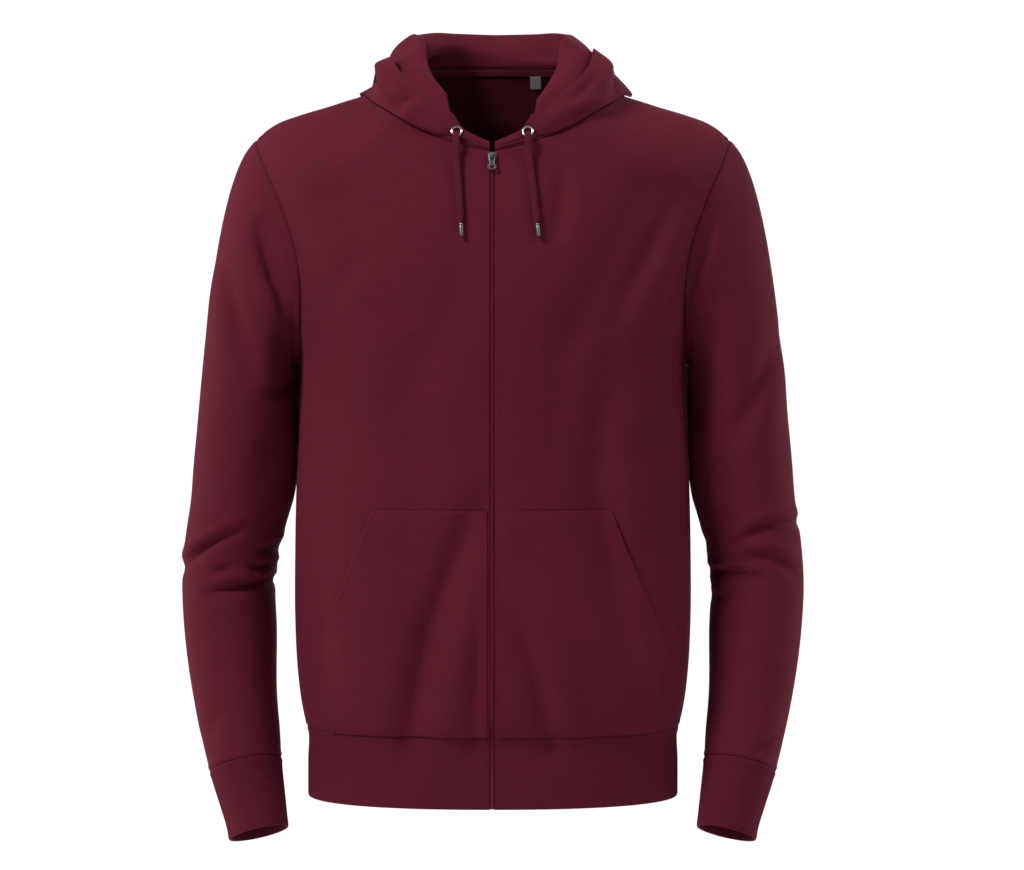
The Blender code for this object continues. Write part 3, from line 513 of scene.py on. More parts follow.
STITCH_PITCH, STITCH_START = 3.1, 1.5
STITCH_OVER = 0.12  # the height of a stitch's middle over the cloth
STITCH_READ = 0.6  # its direction is read so far before and behind it
STITCH_HALF = (1.22, 0.34, 0.24)  # half length, half width and half height
BEAD_ALONG = np.array((-1, -0.72, 0.72, 1))
BEAD_ROUND = np.array((0.3, 1, 1, 0.3))
BEAD_SIDES = 5


def beads(name, places, half, finish):
    """Many small closed capsules: at each place (middle, direction, normal) four rings of five points, of
    radius half_width and half_height times BEAD_ROUND, at half_length times BEAD_ALONG."""
    middle, along, normal = (np.concatenate(part) for part in zip(*places))
    along = unit(along)
    across = unit(np.cross(along, normal))
    over = np.cross(across, along)
    turns = np.arange(BEAD_SIDES) * 2 * np.pi / BEAD_SIDES
    step = (BEAD_ALONG * half[0])[None, :, None, None] * along[:, None, None]
    side = (BEAD_ROUND[:, None] * np.cos(turns) * half[1])[None, ..., None] * across[:, None, None]
    rise = (BEAD_ROUND[:, None] * np.sin(turns) * half[2])[None, ..., None] * over[:, None, None]
    points = middle[:, None, None] + step + side + rise
    ring = numbered(len(BEAD_ALONG), BEAD_SIDES)
    body_faces = quads(closed(ring))[:, ::-1]
    start = (np.arange(len(middle)) * ring.size)[:, None, None]
    faces = [(body_faces[None] + start).reshape(-1, 4)]
    faces += [(cap[None, None] + start).reshape(-1, BEAD_SIDES) for cap in (ring[0], ring[-1, ::-1])]
    add_piece(name, points.reshape(-1, 3), faces, finish)


def stitch_row(path, normals):
    """Places for stitches at even lengths along a path, just over the cloth."""
    gone = lengths(path, 0)
    at = np.arange(STITCH_START, gone[-1] - STITCH_START / 2, STITCH_PITCH)

    def read(values, where):
        return np.stack([np.interp(where, gone, values[:, axis]) for axis in range(3)], -1)

    normal = unit(read(normals, at))
    ahead = read(path, at + STITCH_READ) - read(path, at - STITCH_READ)
    return read(path, at) + normal * STITCH_OVER, ahead, normal


# ---- finishes ----------------------------------------------------------------------------------------

FLEECE_DARK, FLEECE_LIGHT = (0.074, 0.0062, 0.0145), (0.135, 0.0122, 0.0285)
# The dark end of the body's inside colour: painted shade, darker than the face, standing in for the shadow
# inside the neck opening.
FLEECE_DEEP_PAINTED_SHADE = (0.030, 0.0026, 0.0060)
RIB_DARK, RIB_LIGHT = (0.068, 0.0058, 0.0135), (0.126, 0.0114, 0.0265)
CLOTH_GLOSS = 0.12  # the specular level of cloth
SHEEN_TINT = (0.6, 0.06, 0.13)


def add(tree, kind, sockets=(), **settings):
    """A shader node with its settings, and its sockets given as values or as links."""
    made = tree.nodes.new("ShaderNode" + kind)
    for key, value in settings.items():
        setattr(made, key, value)
    for key, value in dict(sockets).items():
        if isinstance(value, bpy.types.NodeSocket):
            tree.links.new(value, made.inputs[key])
        else:
            made.inputs[key].default_value = value
    return made


def maths(tree, operation, *values):
    """The output of a Math node."""
    return add(tree, "Math", dict(enumerate(values)), operation=operation).outputs[0]


def ramp(tree, factor, dark, light, low=0.0, high=1.0):
    """A colour between dark, at a factor of low, and light, at high."""
    made = add(tree, "ValToRGB", {"Fac": factor})
    made.color_ramp.elements[0].position = low
    made.color_ramp.elements[1].position = high
    made.color_ramp.elements[0].color = (*dark, 1)
    made.color_ramp.elements[1].color = (*light, 1)
    return made.outputs["Color"]


def blank(name, roughness, metallic=0.0, sheen=0.0, tint=(1, 1, 1), gloss=0.5):
    """A new finish, its nodes and its shader."""
    made = bpy.data.materials.new(name)
    made.use_nodes = True
    shader = made.node_tree.nodes["Principled BSDF"]
    shader.inputs["Roughness"].default_value = roughness
    shader.inputs["Metallic"].default_value = metallic
    shader.inputs["Sheen Weight"].default_value = sheen
    shader.inputs["Sheen Roughness"].default_value = 0.5
    shader.inputs["Specular IOR Level"].default_value = gloss
    shader.inputs["Sheen Tint"].default_value = (*tint, 1)
    return made, made.node_tree, shader


def wave(tree, value, period):
    """sin(2 pi value / period), from -1 to 1, for a period in millimetres."""
    return maths(tree, "SINE", maths(tree, "MULTIPLY", value, 2 * math.pi / (period * MM)))


def noise(tree, vector, scale, stretch=(1, 1, 1), detail=2.0, rough=0.5):
    """Soft noise from 0 to 1, with its pattern scaled by stretch along each axis."""
    placed = add(tree, "Mapping", {"Vector": vector, "Scale": stretch}).outputs[0]
    sockets = {"Vector": placed, "Scale": scale, "Detail": detail, "Roughness": rough}
    return add(tree, "TexNoise", sockets).outputs[0]


def cloth_blank(name, roughness, sheen):
    """A blank for cloth, with the place in the object and the lengths along and up the piece."""
    made, tree, shader = blank(name, roughness, sheen=sheen, tint=SHEEN_TINT, gloss=CLOTH_GLOSS)
    place = add(tree, "TexCoord")
    own = add(tree, "SeparateXYZ", {0: place.outputs["UV"]})
    return made, tree, shader, place.outputs["Object"], own.outputs["X"], own.outputs["Y"]


def vary(tree, shade, value, by):
    """shade + by * (value - 0.5)."""
    return maths(tree, "MULTIPLY_ADD", maths(tree, "SUBTRACT", value, 0.5), by, shade)


def coat(tree, shader, colour, height, distance, strength=1.0):
    """Gives a finish its colour, and its bump from a height."""
    tree.links.new(colour, shader.inputs["Base Color"])
    raised = add(tree, "Bump", {"Height": height, "Strength": strength, "Distance": distance * MM})
    tree.links.new(raised.outputs[0], shader.inputs["Normal"])


def knit_finish(name, dark, light, wale=1.25, course=0.95, bump=0.06, streak=0.19):
    """Knitted cloth. Rows of V loops from the piece's own lengths: sin across the wales, and sin along the
    courses shifted by a zigzag of the wales. Soft clouds and level streaks vary the dye."""
    made, tree, shader, place, x, y = cloth_blank(name, 0.92, 0.13)
    zigzag = maths(tree, "PINGPONG", x, wale * MM / 2)
    loops = maths(tree, "MULTIPLY", wave(tree, maths(tree, "ADD", y, zigzag), course), 0.6)
    knit = maths(tree, "ADD", loops, maths(tree, "MULTIPLY", wave(tree, x, wale), 0.4))
    fuzz = noise(tree, place, 1300.0, detail=1.0)
    shade = maths(tree, "MULTIPLY_ADD", knit, 0.10, 0.5)
    shade = vary(tree, shade, noise(tree, place, 9.0, detail=3.0), 0.45)
    shade = vary(tree, shade, noise(tree, place, 420.0, (0.12, 0.12, 1.0), 2.0, 0.6), streak * 2)
    shade = vary(tree, shade, fuzz, 0.35)
    coat(tree, shader, ramp(tree, shade, dark, light), maths(tree, "MULTIPLY_ADD", fuzz, 0.9, knit), bump)
    return made


def woven_finish(name, dark, light, across, along, slant=0.0, bump=0.12, rough=0.82, sheen=0.15, steps=0.0):
    """Woven tape: sin across and sin along multiplied, with the threads slanted both ways where slant is
    above 0, and a rung every steps millimetres where steps is above 0."""
    made, tree, shader, place, x, y = cloth_blank(name, rough, sheen)
    if slant:
        y = maths(tree, "ADD", y, maths(tree, "PINGPONG", x, slant * MM))
    weave = maths(tree, "MULTIPLY", wave(tree, x, across), wave(tree, y, along))
    shade = maths(tree, "MULTIPLY_ADD", weave, 0.32, 0.5)
    shade = vary(tree, shade, noise(tree, place, 1500.0, detail=1.0), 0.4)
    if steps:
        shade = maths(tree, "MULTIPLY_ADD", wave(tree, x, steps), 0.3, shade)
    coat(tree, shader, ramp(tree, shade, dark, light), weave, bump)
    return made


def braid_finish(name, dark, light):
    """A braided cord: two sets of slanted strands, the larger of sin(y + x) and sin(y - x)."""
    made, tree, shader, place, x, y = cloth_blank(name, 0.85, 0.2)
    one, two = (wave(tree, maths(tree, "MULTIPLY_ADD", x, way, y), 1.6) for way in (1.0, -1.0))
    strands = maths(tree, "MAXIMUM", one, two)
    fuzz = noise(tree, place, 1600.0, detail=1.0)
    shade = maths(tree, "MULTIPLY_ADD", strands, 0.28, maths(tree, "MULTIPLY_ADD", fuzz, 0.5, 0.1))
    coat(tree, shader, ramp(tree, shade, dark, light), strands, 0.22)
    return made


def metal_finish(name, dark, light, roughness):
    """Satin nickel: fine scratches and soft tarnish in its colour and roughness."""
    made, tree, shader = blank(name, roughness, metallic=1.0)
    place = add(tree, "TexCoord").outputs["Object"]
    cloud = noise(tree, place, 260.0, detail=3.0)
    scratch = noise(tree, place, 900.0, (1.0, 1.0, 0.08), 2.0)
    shade = maths(tree, "MULTIPLY_ADD", scratch, 0.4, maths(tree, "MULTIPLY", cloud, 0.6))
    tree.links.new(maths(tree, "MULTIPLY_ADD", cloud, 0.25, roughness - 0.1), shader.inputs["Roughness"])
    coat(tree, shader, ramp(tree, shade, dark, light, 0.25, 0.75), scratch, 0.02, 0.6)
    return made


FLEECE = knit_finish("burgundy_fleece", FLEECE_DARK, FLEECE_LIGHT)
# The inside of the fronts and back. Its coarser knit is the brushed cloth's own; its darker colour is
# mostly painted shade for the shadow inside the neck.
BRUSHED_AND_SHADED_INSIDE = knit_finish("brushed_inside_painted_shade", FLEECE_DEEP_PAINTED_SHADE, FLEECE_DARK, wale=3.1, course=2.3, streak=0.1)
RIB_KNIT = knit_finish("burgundy_rib", RIB_DARK, RIB_LIGHT, wale=1.4, course=1.1, bump=0.12, streak=0.15)
THREAD = woven_finish("burgundy_thread", (0.085, 0.009, 0.018), (0.155, 0.018, 0.034), 0.5, 0.4, bump=0.03)
TAPE = woven_finish(
    "herringbone_tape", (0.045, 0.005, 0.011), (0.16, 0.020, 0.038), 0.9, 0.8, slant=2.4, steps=3.2
)
ZIP_CLOTH = woven_finish("zip_tape_weave", (0.045, 0.005, 0.010), (0.105, 0.012, 0.023), 0.8, 0.8)
TEETH = woven_finish("zip_coil", (0.16, 0.014, 0.031), (0.25, 0.024, 0.052), 0.7, 0.7, bump=0.02, rough=0.6)
LABEL = woven_finish(
    "grey_woven_label", (0.17, 0.165, 0.17), (0.33, 0.32, 0.325), 0.5, 0.5, bump=0.05, sheen=0.0
)
CORD = braid_finish("braided_cord", (0.060, 0.0065, 0.013), (0.145, 0.016, 0.031))
NICKEL = metal_finish("satin_nickel", (0.11, 0.108, 0.11), (0.27, 0.266, 0.27), 0.36)
BRIGHT_NICKEL = metal_finish("bright_nickel", (0.55, 0.55, 0.56), (0.82, 0.82, 0.83), 0.22)

OF_FLEECE = (CLOTH, FLEECE, "fleece")
# The body's walls take the inside finish, with its painted shade, on their inner faces.
OF_BODY_FLEECE = (CLOTH, FLEECE, "fleece", BRUSHED_AND_SHADED_INSIDE)
OF_RIB = (RIB, RIB_KNIT, "rib")
OF_TAPE = (TRIM, TAPE, "tape")
OF_LABEL = (TRIM, LABEL, "woven_label")

# ---- fronts and back ---------------------------------------------------------------------------------

MIDDLE = np.array((0.0, 0.0, -350.0))
GRID, FINE_GRID = 4.4, 4.0
BY_SEAM, BY_JOIN = 3.4, 3.6  # from an edge to its stitches
BY_ZIP = 5.0


def sew(group, line):
    """A row of stitches along a line, which is a path and the normals along it."""
    sewing.setdefault(group, []).append(stitch_row(*line))


def body_rows():
    """v of the rows: even in height above the underarm, where v turns height by a cosine, and below it."""
    above = np.arccos(1 - 2 * lines(-UNDERARM, GRID, last=False)) / np.pi
    below = 1 + lines(UNDERARM - HEM_SEAM, GRID, first=False)
    return np.append(above, below[1:])


def body_columns(back):
    """Parts of the columns, with one at the neck's corner."""
    return np.unique(np.append(lines(ARMHOLE_TOP, GRID), neck_part(back)))


BODY_V = body_rows()
FRONT_PARTS = body_columns(False)
BACK_PARTS = body_columns(True)


def front_panel(side):
    """Half of the body's front surface, from the zip to the armhole and the side seam."""
    part, v = np.meshgrid(FRONT_PARTS, BODY_V)
    points = body(side * (part + 1e-12), v, False)
    seams = ("top", "last", "bottom")
    grid, normal = half_of("front", side, points, OF_BODY_FLEECE, MIDDLE, seams=seams, level=True)
    sew("front_edges", inset(grid, normal, "first", BY_ZIP))
    sew("armholes", armhole_rows(inset(grid, normal, "last", BY_JOIN)))
    sew("side_and_hem", inset(grid, normal, "bottom", BY_SEAM))
    corner = int(np.searchsorted(FRONT_PARTS, neck_part(False)))
    path, normals = inset(grid, normal, "top", BY_JOIN)
    sew("neck_and_shoulders", (path[: corner + 1], normals[: corner + 1]))
    sew("neck_and_shoulders", (path[corner:], normals[corner:]))


def armhole_rows(line):
    """The part of a side line that is above the underarm."""
    path, normals = line
    keep = path[:, 2] > UNDERARM + 1
    return path[keep], normals[keep]


def back_panel():
    """The body's back surface, from side seam to side seam."""
    part, v = np.meshgrid(np.append(-BACK_PARTS[:0:-1], BACK_PARTS), BODY_V)
    points = body(part, v, True)
    seams = ("top", "first", "last", "bottom")
    grid, normal = shell("back_panel", points, OF_BODY_FLEECE, MIDDLE, ["back"], seams=seams, level=True)
    for edge in ("first", "last"):
        sew("armholes", armhole_rows(inset(grid, normal, edge, BY_JOIN)))
    sew("side_and_hem", inset(grid, normal, "bottom", BY_SEAM))


# ---- sleeves and cuffs -------------------------------------------------------------------------------

# Oval rings: how far out and how far back a ring's middle is, its half sizes, the degrees that its front is
# tipped up, and how much it drops for each millimetre outward.
SLEEVE = table(
    "height middle depth half_width half_depth tip slant",
    (-330, 245.5, 2, 50, 66, 2, 0),
    (-365, 248.2, 4, 50.7, 65, 2, 0),
    (-400, 251.2, 6, 50.7, 63, 2, 0),
    (-445, 260.5, 8, 48, 61, 4, 0),
    (-483, 264.5, 6, 46.5, 58, 9, 0),
    (-530, 262, -3, 46, 55, 14, 0.02),
    (-598, 255.2, -20, 41, 50, 16, 0.09),
    (-640, 247.5, -32, 37.5, 46, 16, 0.18),
    (-662, 243.5, -38.5, 35, 43, 16, 0.22),
)
CUFF = table(
    "height middle depth half_width half_depth tip slant",
    (-662.6, 243.3, -38.7, 35, 43, 16, 0.22),
    (-673, 241, -42, 34, 41, 16, 0.22),
    (-695, 235.5, -49, 31.5, 37.5, 16, 0.23),
    (-718, 230, -56.5, 29.2, 35, 16, 0.24),
    (-727, 228.5, -59, 29, 34.5, 16, 0.24),
)
SLEEVE_FROM, SLEEVE_TO = 1.2, 3.0  # v at the first ring and at the last
SLEEVE_HEAD_LENGTH, SLEEVE_REST_LENGTH = 260, 334
SLEEVE_SWING = 0.47
LEAVE_TOP, LEAVE_UNDER = np.array((0.84, 0, -0.54)), np.array((0.42, 0, -0.9))  # the way from the armhole
ARRIVE = 0.8  # how straight the sleeve's head meets the first ring
CREASE_FROM_V = 0.16  # creases fade out above this v
CREASE_LAST_Z, CREASE_FADE = -658, 14  # and over this height above the cuff
ARM = (248.0, 0.0, -400.0)
HAND = (236.0, -48.0, -690.0)
SLEEVE_TURNS = 104
REST_CLEAR, REST_REACH = 0.8, 11.0  # how close the sleeve lies to the body, and how far it is drawn in
REST_FROM_Z, REST_TO_Z = -252, -412
REST_FADE_IN, REST_FADE_OUT = 25, 45
SEWN = 0.1  # from the armhole to the sleeve
CUFF_LENGTH, CUFF_RIBS, CUFF_RIB_STEPS = 66, 78, 6
RIB_HEIGHT = 0.2
# Creases of each sleeve as they lie across it, with x as the distance from the garment's middle.
SLEEVE_CREASES = table(
    "side back from_x from_z to_x to_z bend width depth lip",
    (-1, 0, 264, -160, 228, -292, 4, 10.5, 7, 0.3),
    (-1, 0, 230, -122, 190, -232, 3, 9, 10, 0.35),
    (-1, 0, 208, -205, 188, -345, 0, 15, 9, 0.1),
    (-1, 0, 229, -303, 190, -284, 2, 6.4, 2.9, 0.4),
    (-1, 0, 236, -427, 322, -484, 8, 4.8, 6.7, 0.5),
    (-1, 0, 190, -479, 292, -495, 1, 4.8, 7.2, 0.5),
    (-1, 0, 252, -466, 280, -475, 1, 3.9, 3.5, 0.4),
    (-1, 0, 184, -443, 234, -455, 2, 4.6, 5.8, 0.5),
    (-1, 0, 196, -474, 240, -469, 2, 4.6, 6.4, 0.5),
    (-1, 0, 264, -596, 281, -645, 0, 7.4, 2.2, 0.3),
    (-1, 0, 205, -330, 232, -410, 5, 12.9, 3.2, 0.2),
    (1, 0, 214, -118, 186, -200, 0, 10, 8, 0.2),
    (1, 0, 282, -225, 231, -352, 5, 11, 6, 0.3),
    (1, 0, 212, -190, 198, -350, 0, 14, 8, 0.15),
    (1, 0, 234, -448, 322, -428, 12, 5.5, 5.8, 0.5),
    (1, 0, 233, -464, 304, -482, 15, 5.9, 4.9, 0.5),
    (1, 0, 188, -474, 268, -478, 2, 4.2, 6.7, 0.5),
    (1, 0, 186, -505, 236, -498, 1, 4.6, 4.9, 0.4),
    (1, 0, 254, -586, 246, -644, 3, 8.3, 2.6, 0.3),
    (1, 0, 275, -630, 249, -650, 2, 4.6, 2.6, 0.3),
    (1, 0, 228, -352, 222, -430, 5, 12, 2.9, 0.2),
    (-1, 1, 206, -452, 300, -446, -8, 6.4, 4.9, 0.4),
    (-1, 1, 206, -484, 302, -492, 6, 5.5, 5.5, 0.4),
    (-1, 1, 240, -180, 205, -300, 6, 12.9, 5.8, 0.3),
    (-1, 1, 280, -330, 252, -430, 4, 12, 3.5, 0.3),
    (-1, 1, 262, -560, 248, -640, 3, 9.2, 2.9, 0.3),
    (1, 1, 202, -446, 296, -458, 8, 6.4, 5.2, 0.4),
    (1, 1, 208, -488, 300, -484, -6, 5.5, 4.9, 0.4),
    (1, 1, 236, -176, 203, -296, 6, 12.9, 5.8, 0.3),
    (1, 1, 270, -320, 262, -420, 4, 12, 3.5, 0.3),
    (1, 1, 240, -550, 262, -636, 3, 9.2, 2.9, 0.3),
)


def armhole(turn):
    """The armhole's edge. turn is 0 at the shoulder, 0.25 in front, 0.5 at the underarm and 0.75 behind."""
    z = SHOULDER["height"][-2] + (UNDERARM - SHOULDER["height"][-2]) * (1 - np.cos(2 * np.pi * turn)) / 2
    front = curve(ARMHOLE, z, "front")
    back = curve(ARMHOLE, z, "back")
    return z, np.where(turn <= 0.5, front, back)


def armhole_edge(turn, side):
    """The armhole's edge on the body's surface, moved out by SEWN."""
    z, x = armhole(turn)
    y = np.where(turn <= 0.5, body_y(side * x, z, False), body_y(side * x, z, True))
    return np.stack([x + SEWN, y, z], -1)


def ring_point(rings, turn, v):
    """A point of a tube given by a table of oval rings: turn goes round it, and v from first to last."""
    height = rings["height"][0] + (rings["height"][-1] - rings["height"][0]) * v
    ring = {name: smooth(-height, -rings["height"], rings[name]) for name in rings}
    angle = 2 * np.pi * turn
    forward = -ring["half_depth"] * np.sin(angle)
    tilt = np.radians(ring["tip"])
    out = ring["half_width"] * np.cos(angle)
    z = height - forward * np.sin(tilt) - ring["slant"] * out
    return np.stack([ring["middle"] + out, ring["depth"] + forward * np.cos(tilt), z], -1)


def body_side(y, z):
    """How far the body's side is from its middle at depth y and height z, without its creases."""
    half = curve(FORM, z, "half_width")
    back, front = curve(FORM, z, "back"), curve(FORM, z, "front")
    level = np.clip(np.abs(y) / np.where(y > 0, back, front), 0, 1)
    return half * (1 - level**SQUARENESS) ** (1 / SQUARENESS)


def sleeve(turn, v, side):
    """The sleeve: from the armhole's edge (v 0) a cubic swings out to the first ring, and it follows the
    rings from there. Its creases push it in toward its middle line, and beside the body it lies against it:
    the gap closes by exp(-(gap / reach)^2) of itself."""
    start = armhole_edge(turn, side)
    end = ring_point(SLEEVE, turn, 0 * turn)
    slope = (ring_point(SLEEVE, turn, 0.01 + 0 * turn) - end) * 100
    top = ((1 + np.cos(2 * np.pi * turn)) / 2)[..., None]
    leave = unit(top * LEAVE_TOP + (1 - top) * LEAVE_UNDER)
    length = np.linalg.norm(end - start, axis=-1, keepdims=True)
    t = np.clip(v / SLEEVE_FROM, 0, 1)[..., None]
    first = cubic(t, start, end, length, SLEEVE_SWING * leave, ARRIVE * unit(slope))
    rest = ring_point(SLEEVE, turn, np.clip((v - SLEEVE_FROM) / (SLEEVE_TO - SLEEVE_FROM), 0, 1))
    points = np.where(v[..., None] < SLEEVE_FROM, first, rest)
    line = [smooth(-points[..., 2], -SLEEVE["height"], SLEEVE[name]) for name in ("middle", "depth")]
    inward = unit(np.stack([*line, points[..., 2]], -1) - points)
    in_front = np.clip(0.5 + 1.6 * np.sin(2 * np.pi * turn), 0, 1)
    rows = rows_of(SLEEVE_CREASES)
    rows = rows[rows[:, 0] == side]
    depth = 0
    for back, weight in ((0, in_front), (1, 1 - in_front)):
        depth = depth + weight * crease_depth(points[..., 0], points[..., 2], rows[rows[:, 1] == back, 2:])
    fade = np.clip((points[..., 2] - CREASE_LAST_Z) / CREASE_FADE, 0, 1)
    fade = np.clip(v / CREASE_FROM_V, 0, 1) ** 2 * fade
    points = points + inward * (depth * fade)[..., None]
    z = points[..., 2]
    gap = points[..., 0] - body_side(points[..., 1], z)
    beside = np.clip((REST_FROM_Z - z) / REST_FADE_IN, 0, 1)
    beside = beside * np.clip((z - REST_TO_Z) / REST_FADE_OUT, 0, 1)
    points[..., 0] -= beside * np.clip(gap - REST_CLEAR, 0, None) * np.exp(-((gap / REST_REACH) ** 2))
    return points


def ribs(points, turns, ring=False):
    """RIB_HEIGHT * cos(2 pi turns), which fades beside the edges of a grid."""
    distances = edge_distances(points, ring)
    ease = np.clip(distances["top"] / 3, 0, 1) * np.clip(distances["bottom"] / 2, 0, 1)
    if not ring:
        ease = ease * np.clip(np.minimum(distances["first"], distances["last"]) / 3, 0, 1)
    return RIB_HEIGHT * np.cos(2 * np.pi * turns) * ease


def sleeve_and_cuff(side):
    """A sleeve, and the ribbed ring at its end. Both are made on the wearer's left and mirrored."""
    mirror = np.array((side, 1, 1))
    turns = np.arange(SLEEVE_TURNS) / SLEEVE_TURNS
    head = SLEEVE_FROM * lines(SLEEVE_HEAD_LENGTH, GRID, last=False)[:-1]
    rest = SLEEVE_FROM + (SLEEVE_TO - SLEEVE_FROM) * lines(SLEEVE_REST_LENGTH, GRID, first=False)
    turn, v = np.meshgrid(turns, np.append(head, rest))
    points = sleeve(turn, v, side) * mirror
    seams = ("top", "bottom")
    grid, normal = half_of("sleeve", side, points, OF_FLEECE, ARM * mirror, ring=True, seams=seams)
    sew("cuffs", [np.vstack([part, part[:1]]) for part in inset(grid, normal, "bottom", BY_SEAM)])
    steps = CUFF_RIBS * CUFF_RIB_STEPS
    turn, v = np.meshgrid(np.arange(steps) / steps, lines(CUFF_LENGTH, FINE_GRID))
    points = ring_point(CUFF, turn, v) * mirror
    how = {"ring": True, "seams": ("top",), "welt": 0.5, "relief": ribs(points, turn * CUFF_RIBS, True)}
    half_of("cuff", side, points, OF_RIB, HAND * mirror, **how)


# ---- hem band ----------------------------------------------------------------------------------------

HEM_GRID, HEM_RIBS, HEM_RIB_STEPS = 6.0, 352, 4


def hem(u, v):
    """The hem band. u is 0 to 1 over the left front, 1 to 3 over the back, 3 to 4 over the right front."""
    back = np.abs(u - 2) < 1
    z = HEM_SEAM - 2 * HALF_GAP + (HEM_EDGE - HEM_SEAM + 2 * HALF_GAP) * v
    front_x = np.sign(2 - u) * column_across(np.minimum(u, 4 - u), z, False)
    back_x = np.sign(2 - u) * column_across(np.abs(u - 2), z, True)
    x = np.where(back, back_x, front_x)
    y = np.where(back, body_y(x, z, True) - HALF_GAP, body_y(x, z, False) + HALF_GAP)
    return np.stack([x, y, z], -1)


def hem_band():
    """The band's columns are even in length round it, with HEM_RIB_STEPS to a rib."""
    dense = np.linspace(0, 4, 2401)
    gone = lengths(hem(dense, 0.5 + 0 * dense), 0)
    even = np.interp(np.linspace(0, gone[-1], HEM_RIBS * HEM_RIB_STEPS + 1), gone, dense)
    u, v = np.meshgrid(even, lines(HEM_SEAM - HEM_EDGE, HEM_GRID))
    points = hem(u, v)
    raised = ribs(points, np.arange(len(even))[None] / HEM_RIB_STEPS)
    grid, normal = shell(
        "hem_rib_band", points, OF_RIB, MIDDLE, ["hem_band"], seams=("top",), welt=0.5, relief=raised
    )
    for edge in ("first", "last"):
        sew("front_edges", inset(grid, normal, edge, BY_ZIP))


# ---- hood --------------------------------------------------------------------------------------------

# The hood's section at each angle round the neck (0 in front, 180 behind): how far it leans out at the neck
# seam, and each knot's distance from the middle (r) and height (z).
HOOD = table(
    "angle lean stand_r stand_z roll_r roll_z fall_r fall_z waist_r waist_z swell_r swell_z rim_r rim_z",
    (0, 0.1, 105.6, -64.2, 105.5, -63.7, 105.4, -63.2, 105, -61.5, 104.4, -59.3, 103.8, -57),
    (9, 0.1, 106.9, -59.3, 106.8, -58.7, 106.7, -58.1, 106.2, -56, 105.4, -53, 104.6, -50),
    (17, 0.15, 107.8, -54.3, 107.6, -53.5, 107.5, -52.8, 106.9, -50, 105.7, -45.5, 104.5, -41),
    (21, 0.2, 108.2, -51.4, 108, -50.6, 107.9, -50, 107.6, -45.5, 106, -37, 104.5, -29.5),
    (26, 0.22, 107.5, -42, 100.5, -17, 103.5, -19, 114.5, -45, 112.5, -35, 106, -24.5),
    (31, 0.25, 107, -36, 94, -9, 100, -10, 117.5, -42, 116, -30, 107, -18),
    (40, 0.3, 104, -24, 86, 3, 98, 2, 124, -33, 123, -18, 109, -3),
    (52, 0.45, 98, -6, 79.5, 18, 93, 19, 130, -18, 129, -2, 113, 15),
    (66, 0.6, 92, 5, 73.5, 34, 90, 34, 127, 1, 126, 16, 107, 34),
    (80, 0.75, 86, 16, 70, 52, 91, 46, 121, 13, 121, 29, 102, 46),
    (94, 0.75, 86, 24, 73, 59, 93, 48, 119, 15, 121, 30, 101, 48),
    (108, 0.65, 89, 32, 80, 64, 102, 49, 128, 12, 130, 26, 106, 46),
    (120, 0.55, 91, 39, 87, 67, 114, 42, 150, -4, 147, 11, 120, 39),
    (132, 0.5, 91, 45, 95, 71, 128, 28, 178, -36, 176, -16, 137, 34),
    (142, 0.45, 90, 49, 99, 74, 127, 8, 184, -90, 188, -55, 144, 32),
    (153, 0.4, 88, 53, 102, 75, 132, -8, 190, -134, 200, -85, 152, 31),
    (166, 0.35, 86, 55, 104, 76, 135, -16, 195, -160, 207, -103, 158, 31),
    (180, 0.35, 85, 56, 104, 76, 136, -19, 197, -167, 210, -109, 160, 31),
)
# The knot where it folds up again, from the neck seam, and how much wider it spreads there.
HOOD_FOLD = table(
    "angle out up spread",
    (0, -1.3, 2.7, 1),
    (9, -1.2, 4.2, 1),
    (17, -1.5, 6.3, 1),
    (21, -1.9, 6, 1),
    (26, 0, 2.6, 1),
    (31, 2, 2.2, 1),
    (40, 2.6, 1.8, 1),
    (52, 3, 1.8, 1),
    (80, 4, 2, 1),
    (94, 6, 2, 1),
    (108, 9, 2.5, 1),
    (120, 28, -12, 1),
    (132, 66, -66, 1.06),
    (142, 72, -132, 1.17),
    (153, 77, -186, 1.31),
    (166, 83, -219, 1.42),
    (180, 85, -230, 1.46),
)
# What the right half adds to these.
HOOD_RIGHT = table(
    "angle stand_r stand_z roll_r roll_z fall_r fall_z fold_r waist_r waist_z swell_r rim_z",
    (0, 0, 0, 0, 0, 0, 0, 0, 0, 0, 0, 0),
    (56, 0, 0, 0, 0, 0, 0, 0, 0, 0, 0, 0),
    (80, 0, 0, 0, 0, 12, -29, -3, -8, 6, -2, -7),
    (94, -5, 4, 2, 0, 12, -27, -5, -9, 6, -2, -9),
    (108, -14, 9, 3, 1, 6, -10, -3, -13, 12, -3, -8),
    (122, -18, 10, 3, 0, 5, 10, 0, -3, 4, 0, 0),
    (136, -17, 10, 1, 0, 2, 10, 0, 0, 0, 0, 0),
    (150, -11, 8, -3, 0, 0, 4, 0, 0, 0, 0, 0),
    (164, -4, 3, -2, 0, 0, 0, 0, 0, 0, 0, 0),
    (180, 0, 0, 0, 0, 0, 0, 0, 0, 0, 0, 0),
)
HOOD_PARTS = ("stand", "roll", "fall", "fold", "waist", "swell", "rim")
HOOD_STEPS = (4, 12, 13, 13, 16, 8, 10, 12)
FOOT, FOOT_ANGLE = 5.0, 25  # the foot of a section stands up so far, and less in front of that angle
CORNER_ANGLE, CORNER_REACH = 98, 14
CORNER_LIFT = 1.4  # over the neck's corner
FACE_HEM = 20.0  # from the face edge to its stitches
HOOD_CREASE_FROM, HOOD_CREASE_TO = 5.3, 8  # v between which the hood is creased
HOOD_CREASES = table(
    "side from_x from_z to_x to_z bend width depth lip",
    (-1, 109, 2, 85, -27, 4, 6.4, 6.4, 0.6),
    (-1, 96, -27, 70, -8, -4, 6, 5.2, 0.6),
    (-1, 84, 6, 77, -16, 2, 4, 2.6, 0.5),
    (1, 104, 18, 72, -18, 3, 6.4, 5, 0.6),
    (1, 116, 4, 90, -20, -3, 6.4, 4.2, 0.6),
)


